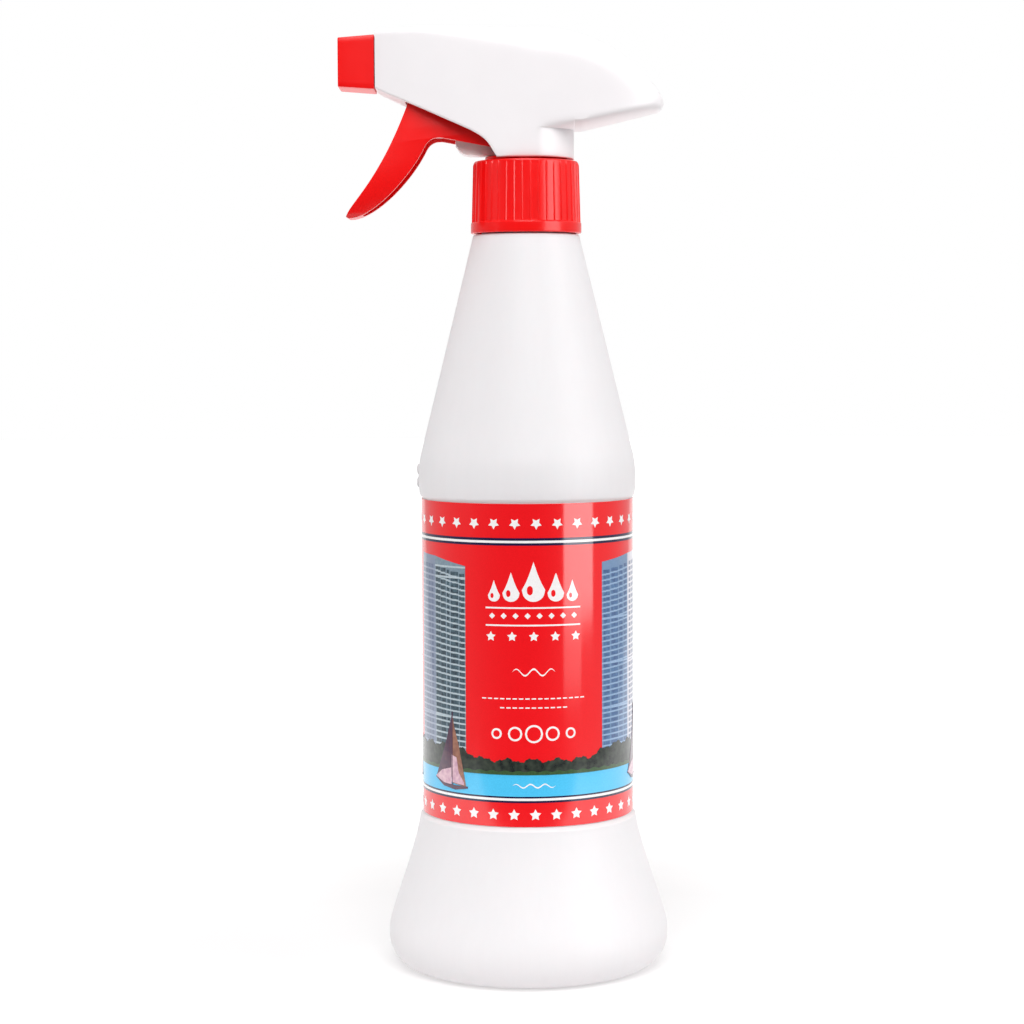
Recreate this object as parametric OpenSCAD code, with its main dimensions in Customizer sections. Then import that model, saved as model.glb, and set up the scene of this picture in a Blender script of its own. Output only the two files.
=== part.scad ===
// Trigger spray bottle: a waisted half-litre bottle with a wrap label, and a
// screw-on trigger sprayer with its pump, valves, dip tube and turning nozzle.
// Origin: centre of the plane the bottle stands on, on the bottle's axis.
// +Z is up and the nozzle points towards -X. Millimetres.

/* [Bottle] */
// Radius of the bottle at its widest, just above the base
base_r = 39.85; // [38:0.05:42]
// Radius of the straight waist that carries the label
waist_r = 29.8; // [29:0.1:30.2]
// Largest radius of the rolled shoulder above the label
shoulder_r = 30.95; // [30.6:0.05:31.6]
// Wall thickness of the bottle
wall = 0.9; // [0.7:0.05:1.2]
// Height of the label's lower edge
label_z0 = 44.2; // [44:0.1:46]
// Height of the label's upper edge
label_z1 = 133.2; // [131:0.1:133.4]
// Thickness of the label film
label_t = 0.15; // [0.1:0.01:0.2]

/* [Neck and collar] */
// Height at which the bottle's cone meets its neck
neck_z0 = 207.4; // [207.3:0.1:207.5]
// Height of the top of the neck
neck_z1 = 224.6; // [224.4:0.1:224.7]
// Root radius of the neck, below its thread
neck_r = 12.55; // [12.5:0.01:12.6]
// Bore radius of the neck
mouth_r = 10.9; // [10.8:0.1:11]
// Height of one turn of the screw thread
pitch = 4.23; // [4.2:0.01:4.26]
// Number of grip ribs round the collar
ribs = 40; // [24:1:48]

/* [Sprayer] */
// Height of the spray barrel's axis
barrel_z = 255.2; // [255:0.1:255.4]
// Height of the pump cylinder's axis
pump_z = 238.2; // [238.1:0.1:238.3]
// Bore radius of the pump cylinder
pump_r = 5.2; // [5:0.05:5.3]
// Distance of the trigger's pivot in front of the bottle's axis
pivot_x = 27; // [26.8:0.1:27.2]
// Half width of the trigger
trigger_hw = 8.4; // [8.2:0.1:8.5]
// Wall thickness of the shroud
shroud_t = 1.2; // [1:0.05:1.3]
// Half width of the nozzle cap at its back face
nozzle_hw = 7.6; // [7.4:0.05:7.7]
// Radius of the dip tube
tube_r = 3; // [2.95:0.01:3.02]

/* [Hidden] */
$fn = 96;
eps = 0.01;

// Running clearance of pins and the nozzle
run = 0.06;
// Thread: where it starts, its crest radius on the neck, and its root radius in the collar
thread_z = neck_z0 + 8;
thread_crest = 13.55;
collar_bore = 14.0;
collar_z0 = 207.7;
collar_top = 229.2;
gasket_t = 1;
flange_z0 = neck_z1 + gasket_t;
flange_z1 = flange_z0 + 1;
// Vertical column of the pump body and its bore
column_r = 4.9;
column_bore = 3.7;
// Pump cylinder: open front end and closed back end
pump_x0 = -19.7;
pump_x1 = -4.2;
pump_wall_r = 6.4;
// Barrel: outer radius, bore, front end and the front end's socket
barrel_r = 4.2;
barrel_bore = 1.5;
barrel_x = -46;
socket_x = -39.5;
socket_r = 2.9;
// Blind end of the piston's hollow, where the return spring starts
spring_x0 = -24.8;
// Trunnion that the trigger hangs on
trunnion_r = 1.6;
ball_in_r = 2;
ball_out_r = 1.6;
// Foot of the 45 degree cone that each ball rests in, and the cone's radius there
seat_in_z = 231.0;
seat_in_r = 1.15;
seat_out_z = 241.95;
seat_out_r = 0.75;
// Lower edge of the shroud's skirt, and the radius of the skirt's round back
skirt_z = 228.5;
skirt_r = 13.5;
// Underside of the shroud's tail where it meets the skirt
tail_z = 236.5;
// Front end and roof of the opening under the shroud that the trigger swings in
opening_x = -33.6;
opening_z = 245.4;
// Boss at the foot of the trigger's stub pins
boss_r = 3;
boss_hw = 6.6;
// Height and thickness of the bar that stops the inlet ball
stop_z = 235.9;
stop_t = 0.8;

// ---------- outline helpers ----------

// Points of an arc from angle a0 to a1, in n steps
function arc(cx, cy, r, a0, a1, n = 8) =
    [for (i = [0:n]) let (a = a0 + (a1 - a0) * i / n) [cx + r * cos(a), cy + r * sin(a)]];

// Points of a cubic curve with two handles, in n steps
function curve(a, b, c, d, n = 12) =
    [for (i = [0:n]) let (t = i / n, u = 1 - t)
        u * u * u * a + 3 * u * u * t * b + 3 * u * t * t * c + t * t * t * d];

// An X-Z outline given thickness 2 * hw across Y
module across(hw) {
    translate([0, hw, 0])
        rotate([90, 0, 0])
            linear_extrude(height = 2 * hw) children();
}

// A round bar along X from x0 to x1 at height z
module bar_x(x0, x1, z, r) {
    translate([x0, 0, z])
        rotate([0, 90, 0])
            cylinder(h = x1 - x0, r = r);
}

// A round bar along Z
module bar_z(z0, z1, r) {
    translate([0, 0, z0])
        cylinder(h = z1 - z0, r = r);
}

// A ring along Z
module ring_z(z0, z1, r_out, r_in) {
    difference() {
        bar_z(z0, z1, r_out);
        bar_z(z0 - 1, z1 + 1, r_in);
    }
}

// A helical ridge: r_base is buried in its wall and r_tip is its crest
module thread_ridge(r_base, r_tip, w_base, w_tip, z0, turns, steps_per_turn = 36) {
    n = round(turns * steps_per_turn);
    outward = r_tip > r_base;
    section = [[r_base, -w_base / 2], [r_tip, -w_tip / 2], [r_tip, w_tip / 2], [r_base, w_base / 2]];
    points = [for (i = [0:n]) let (
                  a = 360 * i / steps_per_turn,
                  // the ridge runs out over its first and last sixth of a turn
                  f = min(1, 0.25 + 6 * min(i, n - i) / steps_per_turn))
              for (p = section) let (r = r_base + (p[0] - r_base) * f)
                  [r * cos(a), r * sin(a), z0 + pitch * i / steps_per_turn + p[1]]];
    sides = [for (i = [0:n - 1]) for (j = [0:3]) let (
                 a = 4 * i + j, b = 4 * i + (j + 1) % 4, c = b + 4, d = a + 4)
             each [[a, c, b], [a, d, c]]];
    caps = [[0, 1, 2], [0, 2, 3], [4 * n, 4 * n + 2, 4 * n + 1], [4 * n, 4 * n + 3, 4 * n + 2]];
    faces = concat(sides, caps);
    polyhedron(points = points, faces = [for (f = faces) outward ? [f[0], f[2], f[1]] : f]);
}

// A coil spring as a stack of rings joined into one closed tube wall along Z
module coil(r, wire_r, length, turns, steps_per_turn = 14) {
    n = round(turns * steps_per_turn);
    sides = 6;
    rise = length - 2 * wire_r;
    points = [for (i = [0:n]) let (a = 360 * i / steps_per_turn)
              for (j = [0:sides - 1]) let (b = 360 * j / sides)
                  [(r + wire_r * cos(b)) * cos(a), (r + wire_r * cos(b)) * sin(a),
                   wire_r + rise * i / n + wire_r * sin(b)]];
    skin = [for (i = [0:n - 1]) for (j = [0:sides - 1]) let (
                a = sides * i + j, b = sides * i + (j + 1) % sides, c = b + sides, d = a + sides)
            each [[a, b, c], [a, c, d]]];
    start_cap = [for (j = [1:sides - 2]) [0, j + 1, j]];
    end_cap = [for (j = [1:sides - 2]) [sides * n, sides * n + j, sides * n + j + 1]];
    polyhedron(points = points, faces = concat(skin, start_cap, end_cap));
}

// ---------- bottle ----------

// Outer outline of the bottle from the standing ring up to the neck, as [r, z]
function bottle_outer() = concat(
    [[26.5, 0], [32, 0]],
    curve([32, 0], [36.6, 0], [base_r, 3.6], [base_r, 9.2], 10),
    curve([base_r, 9.2], [base_r, 12.6], [38.3, 16.6], [36.3, 22.7], 8),
    [[33.6, 31]],
    curve([32.5, 34.6], [31.4, 38.2], [30.6, 43], [waist_r + 0.45, 43.5], 6),
    [[waist_r, label_z0 - 0.25], [waist_r, label_z1 + 0.35]],
    curve([waist_r + 0.5, label_z1 + 0.8], [shoulder_r, 135.4], [shoulder_r + 0.05, 142.2], [29.94, 146.1], 10),
    [[14.98, neck_z0 - 0.4], [14.8, neck_z0 - 0.1], [14.4, neck_z0]]);

// Inner outline, one wall thickness inside the outer one, as [r, z]
function bottle_inner() = concat(
    [[0, 4.4]],
    curve([19, 3.4], [23.5, 1.4], [26, 0.9], [31.5, 0.95], 6),
    curve([31.5, 0.95], [35.9, 0.95], [base_r - wall, 4.2], [base_r - wall, 9.2], 8),
    curve([base_r - wall, 9.2], [base_r - wall, 12.4], [37.4, 16.4], [35.4, 22.7], 6),
    [[32.7, 31]],
    curve([31.6, 34.6], [30.5, 38.2], [29.7, 43], [waist_r - wall, 44.4], 6),
    [[waist_r - wall, label_z1]],
    curve([waist_r - wall, label_z1 + 1.4], [shoulder_r - wall, 136], [shoulder_r - wall, 142], [29, 146.1], 8),
    [[14.05, neck_z0 - 1.1], [12.6, neck_z0 - 0.9], [mouth_r, neck_z0 + 0.3], [mouth_r, neck_z1 + 1], [0, neck_z1 + 1]]);

module bottle() {
    color([0.96, 0.95, 0.95]) {
        difference() {
            union() {
                rotate_extrude($fn = 128)
                    polygon(concat([[0, 3.4], [18.5, 2.4]], bottle_outer(),
                                   [[neck_r, neck_z0], [neck_r, neck_z1], [0, neck_z1]]));
                thread_ridge(neck_r - 0.4, thread_crest, 2.0, 0.9, thread_z, 1.25);
                index_lug();
            }
            rotate_extrude($fn = 128) polygon(bottle_inner());
        }
    }
}

// Small split lug on the shoulder that registers the bottle in the labeller
module index_lug() {
    for (z = [137.7, 141.4]) {
        translate([-shoulder_r - 0.35, 0, z])
            rotate([0, 90, 0])
                cylinder(h = 1.3, r = 1.5, $fn = 32);
    }
}

module label() {
    color([0.92, 0.12, 0.15])
        ring_z(label_z0, label_z1, waist_r + 0.05 + label_t, waist_r + 0.05);
}

// ---------- collar and gasket ----------

module collar() {
    color([0.95, 0.13, 0.12])
    union() {
        difference() {
            union() {
                rotate_extrude()
                    polygon(concat(
                        [[0, collar_z0], [15.4, collar_z0], [15.6, collar_z0 + 0.3],
                         [15.6, collar_z0 + 3.1], [15.05, collar_z0 + 3.6], [14.62, 227]],
                        arc(13.7, 227.0, 0.9, 0, 80, 5),
                        [[11.9, 228.1], [11.6, 228.4], [11.5, collar_top], [0, collar_top]]));
                for (i = [0:ribs - 1])
                    rotate([0, 0, (i + 0.5) * 360 / ribs])
                        grip_rib();
            }
            bar_z(collar_z0 - 1, flange_z1 + 0.15, collar_bore);
            bar_z(flange_z1, collar_top + 1, 9.6);
        }
        // its thread runs just under the neck's thread
        thread_ridge(collar_bore + 0.3, 12.95, 1.9, 0.8, thread_z - 1.34, 1.1);
    }
}

// One thin upright grip rib, leaning in with the collar's taper
module grip_rib() {
    across_y = 0.42;
    translate([0, across_y / 2, 0])
        rotate([90, 0, 0])
            linear_extrude(height = across_y)
                polygon([[14.3, collar_z0 + 3], [15.4, collar_z0 + 3], [14.85, 226.9], [14.3, 227.3]]);
}

module neck_gasket() {
    color([0.9, 0.9, 0.88])
        ring_z(neck_z1, flange_z0, 13.3, 10.85);
}

// ---------- pump body and its insides ----------

module pump_body() {
    color([0.93, 0.91, 0.92])
    difference() {
        union() {
            // skirt that plugs the bottle's mouth, flange that the collar clamps, and neck
            bar_z(219.6, flange_z0 + eps, 10.6);
            bar_z(flange_z0, flange_z1, 13.3);
            bar_z(flange_z1 - eps, 233, 8);
            bar_z(230, 257, column_r);
            translate([0, 0, 257]) cylinder(h = 3.2, r1 = column_r, r2 = 2.4);
            // pump cylinder on its rounded cradle
            bar_x(pump_x0, -2, pump_z, pump_wall_r);
            across(4.6) pump_cradle();
            // spray barrel, its retaining bead and the bulkhead behind the nozzle
            bar_x(barrel_x, 2, barrel_z, barrel_r);
            bar_x(-44.2, -43.6, barrel_z, barrel_r + 0.35);
            bar_x(-40.4, -39.4, barrel_z, 6);
            trunnions();
            stiffening_web();
        }
        // hollow of the plug skirt and the dip tube column
        ring_z(218.6, flange_z0 - 0.8, 9.5, column_r);
        bar_z(218.6, 243, column_bore);
        bar_z(243 - eps, 251.4, 2.45);
        bar_z(251.4 - eps, 256, 1.5);
        // pump bore, its port into the column, and the air vent down into the bottle
        bar_x(pump_x0 - 1, pump_x1, pump_z, pump_r);
        bar_x(pump_x1 - 1, 0, pump_z, 1.1);
        vent_passage();
        // barrel bore and the socket of the swirl insert
        bar_x(socket_x - 1, 0, barrel_z, barrel_bore);
        bar_x(barrel_x - 1, socket_x, barrel_z, socket_r);
    }
    // bar across the column that stops the inlet ball
    color([0.93, 0.91, 0.92])
        translate([-column_bore - 0.4, -0.5, stop_z]) cube([2 * column_bore + 0.8, 1, stop_t]);
}

// Air way from the pump bore, between the piston's two lips, down into the bottle
module vent_passage() {
    vent_r = 0.6;
    translate([-16.5, 0, 0]) bar_z(231.2, pump_z - pump_r + 0.8, vent_r);
    bar_x(-16.5, -6.9, 231.2, vent_r);
    translate([-6.9, 0, 0]) bar_z(218.6, 231.2, vent_r);
}

// Rounded cradle under the pump cylinder, as an X-Z outline
module pump_cradle() {
    polygon(concat([[-19.6, pump_z]], arc(-15.9, 233.3, 3.75, 180, 270, 16), [[-3, 229.55], [-3, pump_z]]));
}

// The two stub pins of the trigger's pivot, on a boss through the barrel
module trunnions() {
    translate([-pivot_x, 0, barrel_z]) {
        rotate([90, 0, 0]) {
            translate([0, 0, -trigger_hw]) cylinder(h = 2 * trigger_hw, r = trunnion_r, $fn = 48);
            translate([0, 0, -boss_hw]) cylinder(h = 2 * boss_hw, r = boss_r, $fn = 48);
        }
    }
}

// Upright web that ties the pump cylinder to the barrel
module stiffening_web() {
    across(0.8)
        polygon([[-12, pump_z + 4], [-3, pump_z + 4], [-3, barrel_z - 2], [-8, barrel_z - 2]]);
}

module tube_retainer() {
    color([0.88, 0.9, 0.92])
    difference() {
        union() {
            bar_z(219, 235.4, column_bore - 0.02);
            bar_z(216.6, 218.5, 4.8);
            bar_z(218.4, 219.1, column_bore - 0.02);
        }
        bar_z(216, 229.4, tube_r + 0.02);
        bar_z(229, 231.5, 1.2);
        // 45 degree seat and the ball's chamber, with a crown of stops above it
        translate([0, 0, seat_in_z]) cylinder(h = 1.25, r1 = seat_in_r, r2 = 2.4);
        bar_z(seat_in_z + 1.2, 236, 2.4);
    }
}

module inlet_ball() {
    color([0.8, 0.82, 0.84])
        translate([0, 0, ball_centre(seat_in_z, seat_in_r, ball_in_r)]) sphere(r = ball_in_r);
}

// Height of a ball's centre when it rests in a 45 degree cone that starts with radius r0 at z0
function ball_centre(z0, r0, ball_r) = z0 - r0 + ball_r * sqrt(2) + 0.02;

module outlet_seat() {
    color([0.88, 0.9, 0.92])
    difference() {
        bar_z(241.2, 243 - 2 * eps, column_bore - 0.02);
        bar_z(240, 244, 0.8);
        translate([0, 0, seat_out_z]) cylinder(h = 1.2, r1 = seat_out_r, r2 = seat_out_r + 1.2);
    }
}

module outlet_ball() {
    color([0.8, 0.82, 0.84])
        translate([0, 0, ball_centre(seat_out_z, seat_out_r, ball_out_r)]) sphere(r = ball_out_r);
}

module outlet_spring() {
    color([0.7, 0.72, 0.75])
        translate([0, 0, 245.3]) coil(2.0, 0.2, 6.0, 5);
}

module dip_tube() {
    color([0.9, 0.92, 0.93])
    difference() {
        bar_z(9, 229.2, tube_r);
        bar_z(8, 230, tube_r - 0.7);
        // slanted mouth, so that it can't seal on the bottle's floor
        translate([0, 0, 9]) rotate([0, 30, 0]) translate([-8, -8, -8]) cube([16, 16, 8]);
    }
}

module piston() {
    color([0.9, 0.9, 0.91])
    difference() {
        union() {
            // button that the trigger pushes, stem, front lip, and head with the cup's groove
            bar_x(-28.6, -27.1, pump_z, 4.2);
            bar_x(-27.2, -15.3, pump_z, 3.6);
            bar_x(-18.9, -17.9, pump_z, pump_r - 0.05);
            bar_x(-15.4, -13.6, pump_z, 4.9);
            bar_x(-13.6 - eps, -11.6, pump_z, 3.9);
            bar_x(-11.6 - eps, -11.0, pump_z, 4.5);
        }
        // blind hollow of the stem, which holds the return spring
        bar_x(spring_x0, -10, pump_z, 2.75);
    }
}

module piston_cup() {
    color([0.75, 0.77, 0.8])
    translate([0, 0, pump_z])
        rotate([0, 90, 0])
            rotate_extrude()
                polygon([[3.95, -13.55], [4.8, -13.55], [pump_r - 0.05, -12.7], [pump_r - 0.05, -12.2],
                         [4.6, -12.6], [4.5, -11.65], [3.95, -11.65]]);
}

module return_spring() {
    color([0.7, 0.72, 0.75])
        translate([spring_x0 + 0.1, 0, pump_z])
            rotate([0, 90, 0]) coil(2.3, 0.3, pump_x1 - spring_x0 - 0.2, 10);
}

module swirl_insert() {
    color([0.9, 0.92, 0.93])
    difference() {
        bar_x(barrel_x - 0.3, socket_x - 0.6, barrel_z, socket_r - 0.03);
        // side channels that lead the liquid to the swirl cup in the front face
        for (side = [0, 180])
            translate([0, 0, barrel_z]) rotate([side, 0, 0])
                translate([barrel_x - 1, -0.6, 2.3]) cube([socket_x - barrel_x + 2, 1.2, 2]);
        bar_x(barrel_x - 1, barrel_x + 0.2, barrel_z, 1.1);
        translate([barrel_x - 1, -0.3, barrel_z - 3]) cube([1.1, 0.6, 6]);
    }
}

// ---------- nozzle ----------

module nozzle_cap() {
    color([0.95, 0.13, 0.12])
    difference() {
        intersection() {
            across(10) nozzle_outline(barrel_z);
            translate([0, 0, barrel_z - 10]) linear_extrude(height = 20) nozzle_outline(0);
        }
        bar_x(-47, -40, barrel_z, barrel_r + run);
        bar_x(-44.6, -43.2, barrel_z, barrel_r + 0.5);
        // orifice and the cone round it
        bar_x(-51, -46, barrel_z, 0.4);
        translate([-50.2, 0, barrel_z]) rotate([0, -90, 0]) cylinder(h = 2.4, r1 = 0.4, r2 = 3);
    }
}

// Tapered square of the nozzle, about the line at height c
module nozzle_outline(c) {
    front = nozzle_hw - 0.7;
    polygon([[-52.4, c - front + 0.5], [-51.9, c - front], [-42.25, c - nozzle_hw],
             [-42.25, c + nozzle_hw], [-51.9, c + front], [-52.4, c + front - 0.5]]);
}

module nozzle_seal() {
    color([0.85, 0.86, 0.87])
        translate([-46.95, 0, barrel_z]) rotate([0, 90, 0])
            difference() {
                cylinder(h = 0.85, r = barrel_r);
                translate([0, 0, -1]) cylinder(h = 3, r = 3);
            }
}

// ---------- trigger ----------

// Side outline of the trigger, pulled in by inset on its front and back edges
module trigger_outline(inset = 0) {
    polygon(concat(
        curve([-32.6 + inset, 244.3], [-41.1 + inset, 221.5], [-49 + inset, 216.6 + inset],
              [-50.5 + 2 * inset, 212.4 + inset], 14),
        curve([-49.7 + 2 * inset, 212 + inset], [-42.8, 212], [-32.3, 223.4], [-28.4, 231.2], 12),
        curve([-28.2, 231.6], [-27, 233.9], [-25.4, 234.2], [-23.5, 234.1], 5),
        [[-9.5, 231.5], [-9.2, 240], [-22, 247.5]],
        arc(-pivot_x, barrel_z, 3.4 - inset, -20, 190, 12)));
}

module trigger() {
    wall_y = 1.4;
    color([0.95, 0.13, 0.12])
    difference() {
        intersection() {
            across(trigger_hw) trigger_outline();
            trigger_width();
        }
        // channel open towards the bottle: the front wall and two side walls are left
        intersection() {
            across(trigger_hw - wall_y) trigger_channel();
            trigger_width(wall_y);
        }
        // bores that the body's stub pins turn in
        translate([-pivot_x, trigger_hw + 1, barrel_z])
            rotate([90, 0, 0]) cylinder(h = 2 * trigger_hw + 2, r = trunnion_r + run, $fn = 48);
    }
    // rounded nose that pushes the piston
    color([0.95, 0.13, 0.12])
    union() {
        translate([-30.4, 7.6, pump_z]) rotate([90, 0, 0]) cylinder(h = 15.2, r = 1.5, $fn = 48);
        translate([-34.6, -0.7, pump_z - 1.2]) cube([4, 1.4, 2.4]);
    }
}

// Front view of the trigger: full width above, narrowing to a round tip
module trigger_width(inset = 0) {
    translate([-60, 0, 0])
        rotate([90, 0, 90])
            linear_extrude(height = 60)
                polygon(concat(
                    [[trigger_hw - inset, 262], [trigger_hw - inset, 236]],
                    curve([trigger_hw - inset, 228], [trigger_hw - inset, 219], [6.9 - inset, 216],
                          [6.2 - inset, 213.5 + inset], 5),
                    [[3.6 - inset / 2, 211.5 + inset], [inset / 2 - 3.6, 211.5 + inset]],
                    curve([inset - 6.2, 213.5 + inset], [inset - 6.9, 216], [inset - trigger_hw, 219],
                          [inset - trigger_hw, 228], 5),
                    [[inset - trigger_hw, 236], [inset - trigger_hw, 262]]));
}

// X-Z outline of the space between the trigger's side walls, behind its front wall
module trigger_channel() {
    front = 2.0;
    polygon(concat(
        [[0, 262], [-33, 262], [-31, 246]],
        curve([-32.6 + front, 244.3], [-41.1 + front, 221.5], [-47.6 + front, 216.6], [-47.2, 213.6], 14),
        [[-30, 205], [0, 205]]));
}

// ---------- shroud ----------

// Side outline of the shroud; inset is the wall thickness for its hollow
module shroud_outline(inset = 0) {
    i = inset;
    hollow = i > 0;
    polygon(concat(
        [[-42, 247.75], [-42, 264.6 - i], [-26.8, 264.9 - i]],
        curve([1.3, 265 - i], [10.4 - i / 2, 265.4 - i], [27.5 - i, 262.5 - i], [38.3 - i, 245.7], 14),
        arc(36.3 - i, 243.6 + i / 2, 2.3, 25, -65, 5),
        [[skirt_r + 2.1 - i, tail_z + i]],
        // the hollow runs out through the open underside, from the trigger back to the skirt
        hollow ? [[skirt_r - i, tail_z], [skirt_r - i, skirt_z - 5], [opening_x, skirt_z - 5], [opening_x, opening_z]]
               : concat([[skirt_r, tail_z], [skirt_r, skirt_z], [-8.1, skirt_z]],
                        curve([-9.1, 230.2], [-11.2, 233.1], [-12.8, 234.9], [-15.6, 236], 6))));
}

// Plan of the shroud, as half widths along X
module shroud_plan(inset = 0) {
    i = inset;
    half = concat(
        curve([-42, 8 - i], [-39, 9.4 - i], [-34, 10.8 - i], [-28, 11.6 - i], 6),
        curve([-20, 12.4 - i], [-8, 13.1 - i], [6, 13.3 - i], [16, 12.7 - i], 6),
        curve([22, 12.2 - i], [32, 11 - i], [38 - i, 8.8 - i], [38.8 - i, 3.4], 7));
    polygon(concat(half, [for (k = [len(half) - 1:-1:0]) [half[k][0], -half[k][1]]]));
}

// Front view of the shroud: straight flanks and a domed top
module shroud_front(inset = 0) {
    i = inset;
    hw = 13.6 - i;
    polygon(concat(
        [[hw, 200], [hw, 256 - i]],
        curve([hw, 258 - i], [hw - 1.2, 262.4 - i], [hw - 5, 264.6 - i], [0, 265.6 - i], 8),
        curve([-1, 265.5 - i], [5 - hw, 264.6 - i], [1.2 - hw, 262.4 - i], [-hw, 258 - i], 8),
        [[-hw, 256 - i], [-hw, 200]]));
}

// Plan of the skirt: the shroud's flanks in front, and a round back over the collar
module skirt_plan(inset = 0) {
    intersection() {
        shroud_plan(inset);
        union() {
            circle(r = skirt_r - inset);
            translate([-60, -20]) square([60, 40]);
        }
    }
}

module shroud_solid(inset = 0) {
    intersection() {
        across(14) shroud_outline(inset);
        union() {
            translate([0, 0, tail_z]) linear_extrude(height = 40) shroud_plan(inset);
            translate([0, 0, 200]) linear_extrude(height = tail_z + eps - 200) skirt_plan(inset);
        }
        translate([-60, 0, 0]) rotate([90, 0, 90]) linear_extrude(height = 120) shroud_front(inset);
    }
}

module shroud() {
    color([0.96, 0.95, 0.96])
    difference() {
        union() {
            difference() {
                shroud_solid();
                difference() {
                    shroud_solid(shroud_t);
                    // front wall behind the nozzle
                    translate([-43, -20, 200]) cube([2.4, 40, 80]);
                }
            }
            for (x = [-38.2, -15]) saddle_rib(x);
        }
        bar_x(-50, 0, barrel_z, barrel_r + 0.02);
    }
}

// Rib under the roof that rests on the barrel
module saddle_rib(x) {
    intersection() {
        translate([x, -5, barrel_z + 1.5]) cube([1.2, 10, 20]);
        shroud_solid();
    }
}

bottle();
label();
collar();
neck_gasket();
pump_body();
shroud();
trigger();
piston();
piston_cup();
return_spring();
tube_retainer();
inlet_ball();
outlet_seat();
outlet_ball();
outlet_spring();
dip_tube();
swirl_insert();
nozzle_cap();
nozzle_seal();
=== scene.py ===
import math

import bmesh
import bpy
import numpy as np
from mathutils import Matrix, Vector


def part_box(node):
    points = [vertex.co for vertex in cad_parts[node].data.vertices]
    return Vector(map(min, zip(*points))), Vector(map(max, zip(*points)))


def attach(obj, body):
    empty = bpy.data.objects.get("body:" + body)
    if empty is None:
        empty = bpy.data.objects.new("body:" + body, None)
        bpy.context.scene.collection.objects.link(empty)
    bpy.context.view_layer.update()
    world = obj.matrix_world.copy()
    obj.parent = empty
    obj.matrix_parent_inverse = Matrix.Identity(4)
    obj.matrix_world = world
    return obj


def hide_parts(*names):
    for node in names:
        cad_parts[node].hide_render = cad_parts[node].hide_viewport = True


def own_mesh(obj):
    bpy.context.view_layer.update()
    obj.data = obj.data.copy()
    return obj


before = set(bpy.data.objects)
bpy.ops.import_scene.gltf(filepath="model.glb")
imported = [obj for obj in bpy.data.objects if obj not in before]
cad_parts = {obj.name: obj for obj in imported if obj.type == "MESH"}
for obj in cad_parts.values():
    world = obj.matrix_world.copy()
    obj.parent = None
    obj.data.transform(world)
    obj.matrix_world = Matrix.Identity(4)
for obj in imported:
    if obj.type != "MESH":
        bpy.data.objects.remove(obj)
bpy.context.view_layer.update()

# Millimetres inside the script; meshes are made in metres
mm = 0.001
scene = bpy.context.scene


def linearColour(hexCode):
    channels = [int(hexCode[i:i + 2], 16) / 255 for i in (1, 3, 5)]
    return tuple(c / 12.92 if c <= 0.04045 else ((c + 0.055) / 1.055) ** 2.4 for c in channels) + (1.0,)


def addNode(tree, kind, settings=None, links=None):
    node = tree.nodes.new(kind)
    for key, value in (settings or {}).items():
        if isinstance(key, int) or key in node.inputs:
            node.inputs[key].default_value = value
        else:
            setattr(node, key, value)
    for key, source in (links or {}).items():
        tree.links.new(source, node.inputs[key])
    return node


def curve(a, b, c, d, steps=16):
    # points of a cubic curve from a to d, with handles b and c
    a, b, c, d = (np.array(p, float) for p in (a, b, c, d))
    t = np.linspace(0, 1, steps + 1)[:, None]
    points = (1 - t) ** 3 * a + 3 * (1 - t) ** 2 * t * b + 3 * (1 - t) * t ** 2 * c + t ** 3 * d
    return [tuple(p) for p in points]


def arc(cx, cy, radius, start, end, steps=12):
    angles = np.radians(np.linspace(start, end, steps + 1))
    return [(cx + radius * math.cos(a), cy + radius * math.sin(a)) for a in angles]


def turned(outline, steps=180):
    # an outline of (radius, height) turned round Z; a radius of 0 becomes a pole
    points, rings, faces = [], [], []
    for radius, z in outline:
        first = len(points)
        if radius < 1e-6:
            points.append((0, 0, z))
            rings.append([first] * steps)
            continue
        for i in range(steps):
            a = 2 * math.pi * i / steps
            points.append((radius * math.cos(a), radius * math.sin(a), z))
        rings.append(list(range(first, first + steps)))
    for lower, upper in zip(rings, rings[1:] + rings[:1]):
        for i in range(steps):
            j = (i + 1) % steps
            face = list(dict.fromkeys([lower[i], lower[j], upper[j], upper[i]]))
            if len(face) > 2:
                faces.append(face)
    return points, faces


def lofted(rings, closed=False):
    # skin over rings with the same number of points; closed joins the last ring to the first
    points = [p for ring in rings for p in ring]
    n = len(rings[0])
    faces = []
    last = len(rings) if closed else len(rings) - 1
    for k in range(last):
        for i in range(n):
            j = (i + 1) % n
            a, b = k * n, (k + 1) % len(rings) * n
            faces.append([a + i, a + j, b + j, b + i])
    if not closed:
        faces.append(list(range(n)))
        faces.append([(len(rings) - 1) * n + i for i in range(n)])
    return points, faces


def prism(outline, low, high, axis):
    # an outline pushed from low to high: (x, z) along Y, (y, z) along X, or (x, y) along Z
    def placed(p, depth):
        if axis == "Y":
            return (p[0], depth, p[1])
        return (depth, p[0], p[1]) if axis == "X" else (p[0], p[1], depth)
    return lofted([[placed(p, low) for p in outline], [placed(p, high) for p in outline]])


def joined(*shapes):
    points, faces = [], []
    for shapePoints, shapeFaces in shapes:
        first = len(points)
        points += shapePoints
        faces += [[first + i for i in face] for face in shapeFaces]
    return points, faces


def startTree(name, inputs):
    # a node tree that takes a mesh and the named inputs, and gives a mesh
    tree = bpy.data.node_groups.new(name, "GeometryNodeTree")
    for label, kind in (("Geometry", "Geometry"), *inputs, ("Material", "Material")):
        tree.interface.new_socket(label, in_out="INPUT", socket_type="NodeSocket" + kind)
    tree.interface.new_socket("Geometry", in_out="OUTPUT", socket_type="NodeSocketGeometry")
    return tree, addNode(tree, "NodeGroupInput").outputs


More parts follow.
